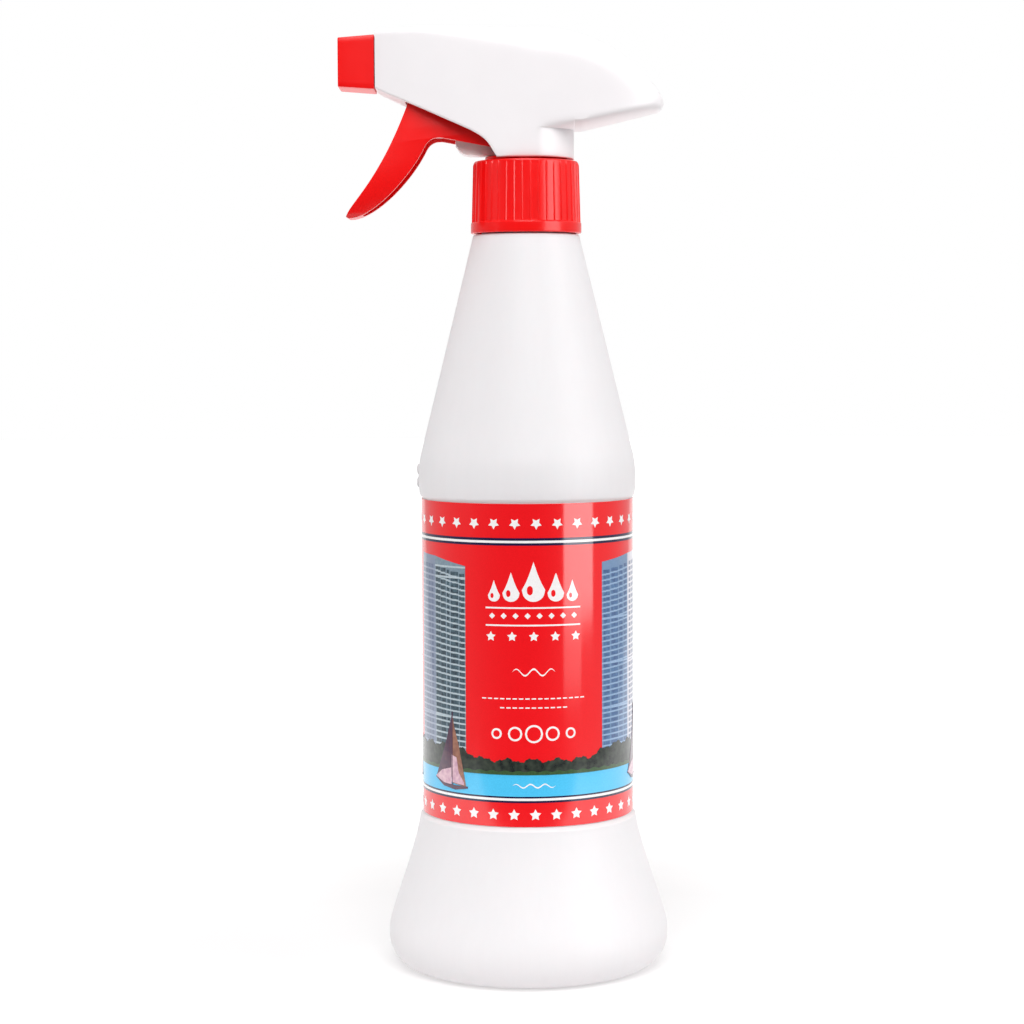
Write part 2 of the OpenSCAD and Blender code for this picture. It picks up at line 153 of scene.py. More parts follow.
def endTree(tree, given, geometry):
    real = addNode(tree, "GeometryNodeRealizeInstances", links={"Geometry": geometry})
    dressed = addNode(tree, "GeometryNodeSetMaterial",
                      links={"Geometry": real.outputs[0], "Material": given["Material"]})
    addNode(tree, "NodeGroupOutput", links={"Geometry": dressed.outputs[0]})
    return tree


def runTree(piece, tree, values):
    modifier = piece.modifiers.new(tree.name, "NODES")
    modifier.node_group = tree
    for item in tree.interface.items_tree:
        if item.in_out == "INPUT" and item.name in values:
            modifier[item.identifier] = values[item.name]
    return applied(piece)


def makePiece(name, shape, material=None, sharpAngle=35, weld=0.0005):
    points, faces = shape
    mesh = bpy.data.meshes.new(name)
    mesh.from_pydata([(x * mm, y * mm, z * mm) for x, y, z in points], [], faces)
    work = bmesh.new()
    work.from_mesh(mesh)
    bmesh.ops.remove_doubles(work, verts=work.verts, dist=weld * mm)
    bmesh.ops.dissolve_degenerate(work, edges=work.edges, dist=weld * mm * 0.5)
    bmesh.ops.recalc_face_normals(work, faces=work.faces)
    work.to_mesh(mesh)
    work.free()
    piece = bpy.data.objects.new(name, mesh)
    scene.collection.objects.link(piece)
    if material:
        mesh.materials.append(material)
    smoothed(piece, sharpAngle)
    return piece


def smoothed(piece, sharpAngle):
    piece.data.shade_smooth()
    piece.data.set_sharp_from_angle(angle=math.radians(sharpAngle))


def applied(piece, sharpAngle=None):
    # turns the result of a piece's modifiers into its plain mesh
    bpy.context.view_layer.update()
    evaluated = piece.evaluated_get(bpy.context.evaluated_depsgraph_get())
    mesh = bpy.data.meshes.new_from_object(evaluated)
    mesh.name = piece.name
    piece.modifiers.clear()
    piece.data = mesh
    if sharpAngle:
        smoothed(piece, sharpAngle)
    return piece


def combine(piece, tool, operation):
    modifier = piece.modifiers.new("combine", "BOOLEAN")
    modifier.operation = operation
    modifier.solver = "EXACT"
    modifier.object = tool
    applied(piece)
    bpy.data.objects.remove(tool)
    return piece


def bevelled(piece, width, segments=3, angle=40):
    modifier = piece.modifiers.new("edges", "BEVEL")
    modifier.width = width * mm
    modifier.segments = segments
    modifier.limit_method = "ANGLE"
    modifier.angle_limit = math.radians(angle)
    return applied(piece)


def place(piece, body, slot, *nodes):
    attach(piece, body)
    if nodes:
        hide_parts(*nodes)
    return piece


def boxOf(node):
    low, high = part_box(node)
    return low / mm, high / mm


def startMaterial(name):
    material = bpy.data.materials.new(name)
    material.use_nodes = True
    tree = material.node_tree
    tree.nodes.clear()
    shader = addNode(tree, "ShaderNodeBsdfPrincipled")
    addNode(tree, "ShaderNodeOutputMaterial", links={"Surface": shader.outputs[0]})
    coordinates = addNode(tree, "ShaderNodeTexCoord")
    return material, tree, shader, coordinates.outputs["Object"]


def noiseAt(tree, spot, size, stretch=(1, 1, 1), detail=2.0):
    # noise whose grain is about size millimetres, drawn out along an axis by stretch
    mapping = addNode(tree, "ShaderNodeMapping", {"Scale": tuple(1 / s for s in stretch)}, {"Vector": spot})
    return addNode(tree, "ShaderNodeTexNoise", {"Scale": 1 / (size * mm), "Detail": detail},
                   {"Vector": mapping.outputs[0]}).outputs[0]


def dressShader(tree, shader, blend, colours, sheen, roughness, relief, strength, depth, spread=(0.3, 0.7)):
    # blend mixes the two colours, sheen spreads the roughness, and relief is a bump depth millimetres high
    share = addNode(tree, "ShaderNodeMapRange", {"From Min": spread[0], "From Max": spread[1]}, {"Value": blend})
    colour = addNode(tree, "ShaderNodeMix", {"data_type": "RGBA", 6: linearColour(colours[0]),
                                             7: linearColour(colours[1])}, {0: share.outputs[0]})
    rough = addNode(tree, "ShaderNodeMapRange", {"From Min": 0.3, "From Max": 0.7, "To Min": roughness[0],
                                                 "To Max": roughness[1]}, {"Value": sheen})
    bump = addNode(tree, "ShaderNodeBump", {"Strength": strength, "Distance": depth * mm}, {"Height": relief})
    tree.links.new(colour.outputs[2], shader.inputs["Base Color"])
    tree.links.new(rough.outputs[0], shader.inputs["Roughness"])
    tree.links.new(bump.outputs[0], shader.inputs["Normal"])


def setShader(shader, values):
    for key, value in values.items():
        shader.inputs[key].default_value = value


def mouldedPlastic(name, light, dark, roughness=(0.28, 0.38), depth=0.02, grain=0.5, subsurface=0.0,
                   glow=(1.0, 0.3, 0.2)):
    # injection-moulded plastic: even colour, fine waviness from the mould, slightly uneven gloss
    material, tree, shader, spot = startMaterial(name)
    cloud = noiseAt(tree, spot, 14)
    fine = noiseAt(tree, spot, grain, detail=3.0)
    dressShader(tree, shader, cloud, (light, dark), fine, roughness, fine, 0.12, depth)
    setShader(shader, {"IOR": 1.49})
    if subsurface:
        setShader(shader, {"Subsurface Weight": subsurface, "Subsurface Radius": glow, "Subsurface Scale": 1.6 * mm})
    return material


def blownPolyethylene():
    # blow-moulded HDPE: milky, lets a little light through, with faint upright draw streaks
    material, tree, shader, spot = startMaterial("blow_moulded_hdpe")
    streaks = noiseAt(tree, spot, 1.6, stretch=(1, 1, 40))
    orangePeel = noiseAt(tree, spot, 2.2, detail=3.0)
    both = addNode(tree, "ShaderNodeMath", {"operation": "ADD"}, {0: streaks, 1: orangePeel})
    dressShader(tree, shader, streaks, ("#EDE8EA", "#ECE7E9"), orangePeel, (0.42, 0.52), both.outputs[0], 0.06, 0.05)
    setShader(shader, {"IOR": 1.54, "Specular IOR Level": 0.35, "Subsurface Weight": 0.35,
                       "Subsurface Radius": (1.0, 0.8, 0.8), "Subsurface Scale": 3 * mm})
    return material


def printedFilm(name, colour, shade, grain=0.35):
    # ink under a clear glossy laminate: dot grain of the print, and a sharp coat
    material, tree, shader, spot = startMaterial(name)
    dots = noiseAt(tree, spot, grain, detail=1.0)
    wave = noiseAt(tree, spot, 9, stretch=(1, 1, 3))
    dressShader(tree, shader, dots, (colour, shade), wave, (0.3, 0.42), wave, 0.12, 0.05)
    setShader(shader, {"IOR": 1.5, "Specular IOR Level": 0.08, "Coat Weight": 0.8, "Coat Roughness": 0.1,
                       "Coat IOR": 1.8})
    return material


def drawnSteel(name, tint):
    # drawn spring wire or polished ball: bright steel with fine marks
    material, tree, shader, spot = startMaterial(name)
    marks = noiseAt(tree, spot, 0.12, detail=3.0)
    dressShader(tree, shader, marks, (tint, "#8E9296"), marks, (0.16, 0.32), marks, 0.1, 0.01, spread=(0, 1))
    setShader(shader, {"Metallic": 1.0})
    return material


finishes = {
    "hdpe": blownPolyethylene(),
    "redCollar": mouldedPlastic("injection_moulded_red_pp_collar", "#FA0F10", "#F20C0D",
                                (0.18, 0.24), 0.01, grain=2.5),
    "red": mouldedPlastic("injection_moulded_red_pp", "#F90A0B", "#F4090A", (0.29, 0.32), 0.01, grain=2.5),
    "white": mouldedPlastic("injection_moulded_white_pp", "#F7F3F5", "#F5F1F3", (0.36, 0.44),
                            subsurface=0.06, glow=(1.0, 0.85, 0.85)),
    "natural": mouldedPlastic("natural_unfilled_pp", "#F8F3F3", "#F2EDEE", (0.26, 0.36),
                              subsurface=0.5, glow=(1.0, 0.8, 0.75)),
    "clear": mouldedPlastic("ldpe_tube", "#E9EEF0", "#DDE5E8", (0.2, 0.3), subsurface=0.6, glow=(0.9, 1.0, 1.0)),
    "foam": mouldedPlastic("pe_seal_foam", "#F1EFEA", "#E4E1DA", (0.7, 0.9), 0.15, grain=0.35),
    "rubber": mouldedPlastic("tpe_seal_rubber", "#C9CBCE", "#B9BCC0", (0.5, 0.65), 0.05),
    "wire": drawnSteel("drawn_stainless_wire", "#C9CCD0"),
    "ball": drawnSteel("polished_stainless_ball", "#D5D8DC"),
}
# each ink: its material's name, its colour and its darker dots, and their grain in millimetres
filmInks = {
    "filmRed": ("label_film_red_ink", "#F30B17", "#ED0914", 0.35),
    "filmNavy": ("label_navy_ink", "#140A38", "#1A0E40", 0.35),
    "filmWhite": ("label_white_ink", "#FBF8F8", "#F4F0F1", 0.35),
    "filmWater": ("label_water_ink", "#50C9F8", "#49C0F0", 0.35),
    "filmTrees": ("label_foliage_ink", "#1A211F", "#3A4238", 1.6),
    "filmLawn": ("label_lawn_ink", "#33502F", "#3F5D38", 0.7),
    "filmTowerLit": ("label_tower_front_ink", "#8799A6", "#768A99", 0.8),
    "filmTowerBlue": ("label_tower_far_ink", "#7793B8", "#6D8DB0", 0.9),
    "filmTowerShade": ("label_tower_side_ink", "#7F8CA4", "#8793AB", 0.9),
    "filmTowerPale": ("label_tower_pale_ink", "#D5D2DC", "#C9C8D6", 0.9),
    "filmSlab": ("label_floor_slab_ink", "#C3CFD6", "#B3C2CB", 0.8),
    "filmSlabBlue": ("label_far_floor_slab_ink", "#9DB8D8", "#8FAFD2", 0.8),
    "filmSlabShade": ("label_side_floor_slab_ink", "#A3AEC4", "#98A4BC", 0.8),
    "filmSlabPale": ("label_pale_floor_slab_ink", "#E3E0E8", "#D6D5E1", 0.8),
    "filmGlass": ("label_window_ink", "#2C3A45", "#4C6470", 1.1),
    "filmGlassBlue": ("label_far_window_ink", "#3F5A88", "#557AA6", 1.3),
    "filmGlassShade": ("label_side_window_ink", "#5E6C88", "#6C7A97", 1.1),
    "filmSailTan": ("label_tan_sail_ink", "#A5735C", "#8A5C4E", 1.4),
    "filmSailDark": ("label_dark_sail_ink", "#4A2F49", "#5C3A4C", 1.4),
    "filmSailPink": ("label_pink_sail_ink", "#E3BFC9", "#C598AE", 1.2),
}
finishes.update({key: printedFilm(*ink) for key, ink in filmInks.items()})
print("materials", len(finishes))


bottleSizes = {
    "baseRadius": 39.85, "waistRadius": 29.8, "shoulderRadius": 31.0, "wall": 0.9,
    "mouthRadius": 10.9, "neckRadius": 12.55, "neckFoot": 207.4,
    "threadCrest": 13.55, "threadPitch": 4.23, "threadTurns": 1.25,
    "seamHeight": 0.05,
}


def bottleOutside(s, labelLow, labelHigh):
    base, waist, shoulder, foot = s["baseRadius"], s["waistRadius"], s["shoulderRadius"], s["neckFoot"]
    return ([(26.5, 0.35), (27.2, 0.05), (28, 0), (32, 0)]
            + curve((32, 0), (36.6, 0), (base, 3.6), (base, 9.2), 24)[1:]
            + curve((base, 9.2), (base, 12.6), (38.3, 16.6), (36.3, 22.7), 16)[1:]
            + curve((36.3, 22.7), (35.3, 25.7), (34.2, 28.9), (33.6, 31), 6)[1:]
            + curve((33.6, 31), (32.5, 34.6), (31.4, 38.2), (30.75, 42.6), 10)[1:]
            + arc(30.35, 42.75, 0.4, 0, 60, 3)
            + [(waist, labelLow - 0.25), (waist, labelHigh + 0.3), (waist + 0.2, labelHigh + 0.55)]
            + curve((waist + 0.5, labelHigh + 0.8), (shoulder, 135.4), (shoulder, 142.2), (29.94, 146.1), 20)
            + [(22.46, 176.55), (15.05, foot - 0.7)]
            + curve((14.98, foot - 0.4), (14.85, foot - 0.1), (14.7, foot), (14.3, foot), 4))


def bottleInside(s, labelLow, labelHigh, top):
    base, waist, shoulder = s["baseRadius"] - s["wall"], s["waistRadius"] - s["wall"], s["shoulderRadius"] - s["wall"]
    mouth, foot = s["mouthRadius"], s["neckFoot"]
    return ([(0, 4.4)] + curve((19, 3.4), (23.5, 1.4), (26, 0.9), (31.5, 0.95), 10)
            + curve((31.5, 0.95), (35.9, 0.95), (base, 4.2), (base, 9.2), 16)[1:]
            + curve((base, 9.2), (base, 12.4), (37.4, 16.4), (35.4, 22.7), 12)[1:]
            + [(32.7, 31)]
            + curve((32.7, 31), (31.6, 34.6), (30.5, 38.2), (29.7, 43), 8)[1:]
            + [(waist, labelLow + 0.2), (waist, labelHigh)]
            + curve((waist, labelHigh + 1.4), (shoulder, 136), (shoulder, 142), (29, 146.1), 12)
            + [(14.05, foot - 1.1), (12.6, foot - 0.9), (mouth, foot + 0.3), (mouth, top - 0.4), (mouth + 0.3, top)])


def helixRidge(inner, outer, footWidth, tipWidth, start, pitch, turns, stepsPerTurn=72):
    # screw thread: a ridge that runs out at both ends
    steps = round(turns * stepsPerTurn)
    rings = []
    for i in range(steps + 1):
        a = 2 * math.pi * i / stepsPerTurn
        rise = min(1, 0.05 + 6 * min(i, steps - i) / stepsPerTurn)
        z = start + pitch * i / stepsPerTurn
        section = [(inner, -footWidth / 2), (outer, -tipWidth / 2), (outer, tipWidth / 2), (inner, footWidth / 2)]
        rings.append([((inner + (r - inner) * rise) * math.cos(a), (inner + (r - inner) * rise) * math.sin(a), z + dz)
                      for r, dz in section])
    return lofted(rings)


def partingSeam(shape, outline, height, widest):
    # the shell's points in the plane where the halves of the mould met stand out as a fine low ridge
    points, faces = shape
    outer = {(round(r, 6), z) for r, z in outline}
    for i, (x, y, z) in enumerate(points):
        if abs(y) < 1e-6 and (round(abs(x), 6), z) in outer:
            points[i] = (math.copysign(min(abs(x) + height, widest), x), y, z)
    return points, faces


def rounded(centre, radii, rows=10, columns=20):
    rings = []
    for i in range(rows + 1):
        lift = math.pi * (i / rows - 0.5)
        rings.append([(centre[0] + radii[0] * math.cos(lift) * math.cos(2 * math.pi * j / columns),
                       centre[1] + radii[1] * math.cos(lift) * math.sin(2 * math.pi * j / columns),
                       centre[2] + radii[2] * math.sin(lift)) for j in range(columns)])
    return lofted(rings)


def makeBottle():
    s = bottleSizes
    low, high = boxOf("bottle")
    labelLow, labelHigh = (corner.z for corner in boxOf("label"))
    outside = bottleOutside(s, labelLow, labelHigh)
    neck = [(s["neckRadius"], s["neckFoot"] + 0.2), (s["neckRadius"], high.z - 0.4), (s["neckRadius"] - 0.4, high.z)]
    inside = bottleInside(s, labelLow, labelHigh, high.z)
    shell = turned([(0, 3.4), (12, 2.9), (18.5, 2.4)] + outside + neck + inside[::-1], 256)
    thread = helixRidge(s["neckRadius"] - 0.4, s["threadCrest"], 2.0, 0.9, s["neckFoot"] + 8,
                        s["threadPitch"], s["threadTurns"])
    lugs = [rounded((-s["shoulderRadius"] + 0.35, 0, z), (0.7, 1.5, 1.55)) for z in (137.7, 141.4)]
    bare = [p for p in outside if 1.0 < p[1] < labelLow - 1 or labelHigh + 1 < p[1] < s["neckFoot"] - 0.5]
    shell = partingSeam(shell, bare, s["seamHeight"], s["baseRadius"])
    pinch = rounded((0, 0, 2.9), (11, 0.8, 0.75))
    piece = makePiece("bottle_shell", joined(shell, thread, *lugs, pinch), finishes["hdpe"])
    return place(piece, "bottle", "hdpe_milky", "bottle")


makeBottle()
print("bottle")


# Places along the film are millimetres from the front, positive to the right; heights are the bottle's
labelSizes = {
    "ink": 0.02, "panelLeft": -18.2, "panelRight": 22.2, "shift": 94.2,
    "waterLow": 52.6, "waterHigh": 58.65, "stripes": ((121.8, 122.47), (123.13, 123.85), (50.9, 51.48), (52.17, 52.64)),
    "whiteStripes": ((122.47, 123.13), (51.48, 52.17)),
    "rules": (99.68, 104.48), "ruleWidth": 0.44, "ruleSpan": (-11.9, 14.9),
}
filmLow, filmHigh = boxOf("label")
filmRadius = filmHigh.x
filmLength = 2 * math.pi * filmRadius


def onFilm(along, z, lift):
    a = along / filmRadius
    r = filmRadius + lift
    return (r * math.sin(a), -r * math.cos(a), z)


def inkPatch(start, end, low, high, layer=1, step=1.0):
    # a closed thin sheet of ink between two edges, each a height or a rule that gives the height
    count = max(1, math.ceil(abs(end - start) / step))
    lowAt = low if callable(low) else lambda s: low
    highAt = high if callable(high) else lambda s: high
    top = labelSizes["ink"] * layer
    rings = []
    for i in range(count + 1):
        s = start + (end - start) * i / count
        a, b = lowAt(s), max(lowAt(s), highAt(s))
        rings.append([onFilm(s, a, top), onFilm(s, b, top), onFilm(s, b, 0.004), onFilm(s, a, 0.004)])
    return lofted(rings)


def inkRing(low, high, layer=1):
    rings = []
    for i in range(240):
        s = filmLength * i / 240
        top = labelSizes["ink"] * layer
        rings.append([onFilm(s, low, top), onFilm(s, high, top), onFilm(s, high, 0.004), onFilm(s, low, 0.004)])
    return lofted(rings, closed=True)


def inkDisc(along, z, radius, layer=1, squash=1.0):
    def half(s):
        return squash * math.sqrt(max(0, radius ** 2 - (s - along) ** 2))
    return inkPatch(along - radius, along + radius, lambda s: z - half(s), lambda s: z + half(s),
                    layer, radius / 9)


def inkDrop(along, z, size, layer=1):
    # falling drop: a round foot that draws up to a point
    radius = 0.32 * size

    def below(s):
        return z - math.sqrt(max(0, radius ** 2 - (s - along) ** 2))

    def above(s):
        t = min(1, abs(s - along) / radius)
        return z + (size - radius) * (1 - t) ** 1.5 + 0.3 * radius * math.sqrt(max(0, 1 - t * t))
    return inkPatch(along - radius, along + radius, below, above, layer, radius / 9)


def inkWave(start, end, z, height, width, waves, layer=1):
    def middle(s):
        return z + height * math.sin(2 * math.pi * waves * (s - start) / (end - start))

    def half(s):
        return 0.5 * width * math.sin(math.pi * (s - start) / (end - start)) ** 0.5
    return inkPatch(start, end, lambda s: middle(s) - half(s), lambda s: middle(s) + half(s), layer, 0.25)


def inkLozenge(along, z, size, layer=1):
    def half(s):
        return max(0, 0.5 * size - abs(s - along))
    return inkPatch(along - size / 2, along + size / 2, lambda s: z - half(s), lambda s: z + half(s), layer, size / 6)


def inkPiece(name, shapes, finish):
    return place(makePiece(name, joined(*shapes), finishes[finish], 30, 0.0002), "bottle", "label_film")


def makeFilm():
    outer, inner = filmRadius, filmRadius - 0.15
    edge = 0.03
    outline = [(inner, filmLow.z), (outer - edge, filmLow.z), (outer, filmLow.z + edge), (outer, filmHigh.z - edge),
               (outer - edge, filmHigh.z), (inner, filmHigh.z)]
    lap = inkPatch(filmLength / 4 - 1.2, filmLength / 4 + 1.2, filmLow.z + 0.1, filmHigh.z - 0.1, 1)
    piece = makePiece("label_wrap", joined(turned(outline, 360), lap), finishes["filmRed"])
    return place(piece, "bottle", "label_film", "label")


def makeStripes():
    s = labelSizes
    inkPiece("label_navy_stripes", [inkRing(*band, 2) for band in s["stripes"]], "filmNavy")
    inkPiece("label_white_stripes", [inkRing(*band, 2) for band in s["whiteStripes"]], "filmWhite")
    inkPiece("label_water", [inkRing(s["waterLow"], s["waterHigh"] + 1, 1)], "filmWater")


def treeTops(s, phase):
    # uneven crowns, higher beside the panel than under it
    centre = (labelSizes["panelLeft"] + labelSizes["panelRight"]) / 2
    away = min(1.0, max(0.0, (abs(s - centre) - 15) / 9))
    crowns = 0.5 * math.sin(0.9 * s + phase) + 0.25 * math.sin(2.3 * s + 1.3 + phase) + 0.12 * math.sin(6.1 * s)
    return 62.7 + 2.9 * away + crowns


def makeGreenery():
    s = labelSizes
    half = filmLength / 4
    centre = (s["panelLeft"] + s["panelRight"]) / 2
    trees, lawn = [], []
    for side in (0, s["shift"]):
        start = centre - half + side
        trees.append(inkPatch(start, start + 2 * half, s["waterHigh"] + 0.4,
                              lambda x, side=side: treeTops(x - side, 0.6), 5, 0.3))
        lawn.append(inkPatch(start, start + 2 * half, s["waterHigh"],
                             lambda x: s["waterHigh"] + 1.0 + 0.2 * math.sin(1.7 * x), 6, 0.5))
    inkPiece("label_trees", trees, "filmTrees")
    inkPiece("label_lawn", lawn, "filmLawn")


# Edges along the film, roof heights at them, floors, each column of panes as (centre, width), and trim bands
towerFaces = {
    "left_front": {"span": (-30.9, -18.4), "roof": (118.0, 115.8), "wall": "filmTowerLit", "glass": "filmGlass",
                   "slab": "filmSlab", "floors": 33, "bands": (73.3, 112.2, 115.1),
                   "columns": ((-29.4, 2.2), (-26.95, 2.3), (-24.8, 1.1), (-22.3, 2.9), (-19.6, 1.8))},
    "left_side": {"span": (-40.5, -30.9), "roof": (118.4, 118.0), "wall": "filmTowerShade",
                  "glass": "filmGlassShade", "slab": "filmSlabShade", "floors": 33, "bands": (73.3,),
                  "columns": ((-39.2, 1.0), (-36.7, 2.1), (-34.5, 1.3), (-32.7, 1.3))},
    "right_front": {"span": (22.5, 35.9), "roof": (116.6, 118.2), "wall": "filmTowerBlue",
                    "glass": "filmGlassBlue", "slab": "filmSlabBlue", "floors": 35, "bands": (75.6, 88.1, 100.6),
                    "columns": ((24.35, 2.6), (28.0, 3.2), (31.4, 2.0), (34.3, 2.1))},
    "right_side": {"span": (35.9, 47.0), "roof": (118.2, 118.6), "wall": "filmTowerPale",
                   "glass": "filmGlassShade", "slab": "filmSlabPale", "floors": 35, "bands": (88.1,),
                   "columns": ((38.2, 1.8), (40.7, 1.8), (43.2, 1.8), (45.7, 1.4))},
}
# Parts of a floor's height where panes and slabs sit, and their share of it; parapet above the top floor
floorSizes = {"paneRise": 0.5, "paneShare": 0.64, "slabRise": 0.0, "slabShare": 0.26, "thickness": 0.02,
              "depth": 0.045, "slabLength": 1.6, "bandHeight": 0.5, "parapet": 2.2}


def paneTree():
    # each point is a column of panes: a line of floors carried round the film, with a pane on every floor
    sizes = ("Floor Height", "Pane Height", "Thickness", "Radius", "Foot", "Left", "Slope")
    tree, given = startTree("paneRows", [("Floors", "Int")] + [(name, "Float") for name in sizes])
    step = addNode(tree, "ShaderNodeCombineXYZ", links={"Z": given["Floor Height"]})
    floors = addNode(tree, "GeometryNodeMeshLine", {"mode": "OFFSET"},
                     {"Count": given["Floors"], "Offset": step.outputs[0]})
    columns = addNode(tree, "GeometryNodeInstanceOnPoints",
                      links={"Points": given["Geometry"], "Instance": floors.outputs[0]})
    anchors = addNode(tree, "GeometryNodeRealizeInstances", links={"Geometry": columns.outputs[0]})
    spot = addNode(tree, "ShaderNodeSeparateXYZ", links={0: addNode(tree, "GeometryNodeInputPosition").outputs[0]})
    known = {"x": spot.outputs[0], "y": spot.outputs[1], "z": spot.outputs[2], **given}
    for result, operation, first, second in (
            ("angle", "DIVIDE", "x", "Radius"), ("sine", "SINE", "angle", 0), ("cosine", "COSINE", "angle", 0),
            ("right", "MULTIPLY", "Radius", "sine"), ("front", "MULTIPLY", "Radius", "cosine"),
            ("forward", "MULTIPLY", "front", -1), ("along", "SUBTRACT", "x", "Left"),
            ("leaning", "MULTIPLY", "along", "Slope"), ("lean", "ADD", "leaning", 1),
            ("rise", "SUBTRACT", "z", "Foot"), ("leaned", "MULTIPLY", "rise", "lean"),
            ("height", "ADD", "Foot", "leaned"), ("away", "MULTIPLY", "y", -1), ("facing", "ARCTAN2", "x", "away")):
        fixed, links = ({1: second}, {0: known[first]}) if second not in known else (
            {}, {0: known[first], 1: known[second]})
        known[result] = addNode(tree, "ShaderNodeMath", {"operation": operation, **fixed}, links).outputs[0]
    wrapped = addNode(tree, "ShaderNodeCombineXYZ",
                      links={"X": known["right"], "Y": known["forward"], "Z": known["height"]})
    carried = addNode(tree, "GeometryNodeSetPosition",
                      links={"Geometry": anchors.outputs[0], "Position": wrapped.outputs[0]})
    width = addNode(tree, "GeometryNodeInputNamedAttribute", {"data_type": "FLOAT", "Name": "paneWidth"})
    size = addNode(tree, "ShaderNodeCombineXYZ",
                   links={"X": width.outputs[0], "Y": given["Thickness"], "Z": given["Pane Height"]})
    turn = addNode(tree, "ShaderNodeCombineXYZ", links={"Z": known["facing"]})
    block = addNode(tree, "GeometryNodeMeshCube", {"Size": (1, 1, 1)})
    panes = addNode(tree, "GeometryNodeInstanceOnPoints",
                    links={"Points": carried.outputs[0], "Instance": block.outputs[0], "Scale": size.outputs[0],
                           "Rotation": turn.outputs[0]})
    return endTree(tree, given, panes.outputs[0])


def rowPiece(name, tree, face, columns, shift, foot, kind):
    # one set of columns made into panes or slabs, kind being "pane" or "slab"
    s = floorSizes
    left, right = face["span"]
    roofLeft, roofRight = face["roof"]
    floorHeight = (roofLeft - s["parapet"] - foot) / face["floors"]
    slope = ((roofRight - foot) / (roofLeft - foot) - 1) / (right - left)
    mesh = bpy.data.meshes.new(name)
    start = foot + s[kind + "Rise"] * floorHeight
    mesh.from_pydata([((centre + shift) * mm, 0, start * mm) for centre, width in columns], [], [])
    widths = mesh.attributes.new("paneWidth", "FLOAT", "POINT")
    widths.data.foreach_set("value", [width * mm for centre, width in columns])
    piece = bpy.data.objects.new(name, mesh)
    scene.collection.objects.link(piece)
    return runTree(piece, tree, {"Floors": face["floors"], "Floor Height": floorHeight * mm,
                                 "Pane Height": s[kind + "Share"] * floorHeight * mm,
                                 "Thickness": s["thickness"] * mm, "Radius": (filmRadius + s["depth"]) * mm,
                                 "Foot": foot * mm, "Left": (left + shift) * mm, "Slope": slope / mm,
                                 "Material": finishes[face["glass" if kind == "pane" else "slab"]]})


def makeTowers():
    tree = paneTree()
    s = floorSizes
    foot = labelSizes["waterHigh"] + 2
    for name, face in towerFaces.items():
        left, right = face["span"]
        count = round((right - left) / s["slabLength"])
        step = (right - left) / count
        slabColumns = [(left + (k + 0.5) * step, step + 0.02) for k in range(count)]
        walls, bands, rows = [], [], {"panes": [], "slabs": []}
        for number, shift in enumerate((0, labelSizes["shift"])):
            walls.append(inkPatch(left + shift, right + shift, foot - 1,
                                  lambda x, shift=shift: np.interp(x - shift, (left, right), face["roof"]), 2))
            bands += [inkPatch(left + shift, right + shift, z, z + s["bandHeight"], 5) for z in face["bands"]]
            for kind, columns in (("panes", face["columns"]), ("slabs", slabColumns)):
                rows[kind].append(rowPiece(f"{kind}_{name}_{number}", tree, face, columns, shift, foot, kind[:-1]))
        inkPiece("label_tower_" + name, walls, face["wall"])
        inkPiece("label_bands_" + name, bands, face["slab"])
        for kind, pieces in rows.items():
            mergePieces(pieces, f"label_{kind}_{name}")
            place(pieces[0], "bottle", "label_film")


def mergePieces(pieces, name):
    work = bmesh.new()
    for piece in pieces:
        work.from_mesh(piece.data)
    work.to_mesh(pieces[0].data)
    work.free()
    pieces[0].name = name
    pieces[0].data.name = name
    for piece in pieces[1:]:
        bpy.data.objects.remove(piece)


def slopeBetween(*corners):
    # height along a broken line of (place, height)
    places, heights = zip(*corners)
    return lambda s: float(np.interp(s, places, heights))


# Each part of a boat: its finish, layer, step, and its lower and upper edges as (place from the mast, height)
boatParts = {
    "label_tan_sails": [("filmSailTan", 7, 0.25, ((-0.2, 55.2), (4.8, 54.5)),
                         ((-0.2, 74.6), (0.6, 71), (2.4, 65.5), (4.1, 58), (4.8, 54.6)))],
    "label_dark_sails": [("filmSailDark", 8, 0.25, ((-7.2, 56.4), (0, 56.8)),
                          ((-7.2, 56.5), (-4.6, 62), (-2.4, 67.2), (-0.9, 72), (0, 74.9)))],
    "label_pink_sails": [("filmSailPink", 9, 0.3, ((-7.4, 56.2), (-4, 54.9), (-0.5, 54.4)),
                          ((-7.4, 56.4), (-4.4, 58.4), (-0.5, 59.4))),
                         ("filmSailPink", 9, 0.3, ((-0.3, 55.4), (4.2, 54.9)),
                          ((-0.3, 63), (1.6, 62.4), (2.2, 58.4), (4.2, 55.6)))],
    "label_hulls": [("filmSailDark", 10, 0.4, ((-7.6, 56.1), (-3.6, 54), (1, 53.4), (5.4, 54.1)),
                     ((-7.6, 56.3), (-3.6, 54.9), (1, 54.6), (5.4, 54.6))),
                    ("filmSailDark", 10, 0.2, ((-0.14, 54.5), (0.06, 54.5)), ((-0.14, 75.1), (0.06, 75.1)))],
}


def makeBoats():
    masts = (-23.2, 43.3, -23.2 + labelSizes["shift"], 43.3 - labelSizes["shift"])
    for name, parts in boatParts.items():
        shapes = []
        for mast in masts:
            for finish, layer, step, lower, upper in parts:
                edges = [slopeBetween(*((mast + x, z) for x, z in edge)) for edge in (lower, upper)]
                shapes.append(inkPatch(mast + lower[0][0], mast + lower[-1][0], *edges, layer, step))
        inkPiece(name, shapes, finish)


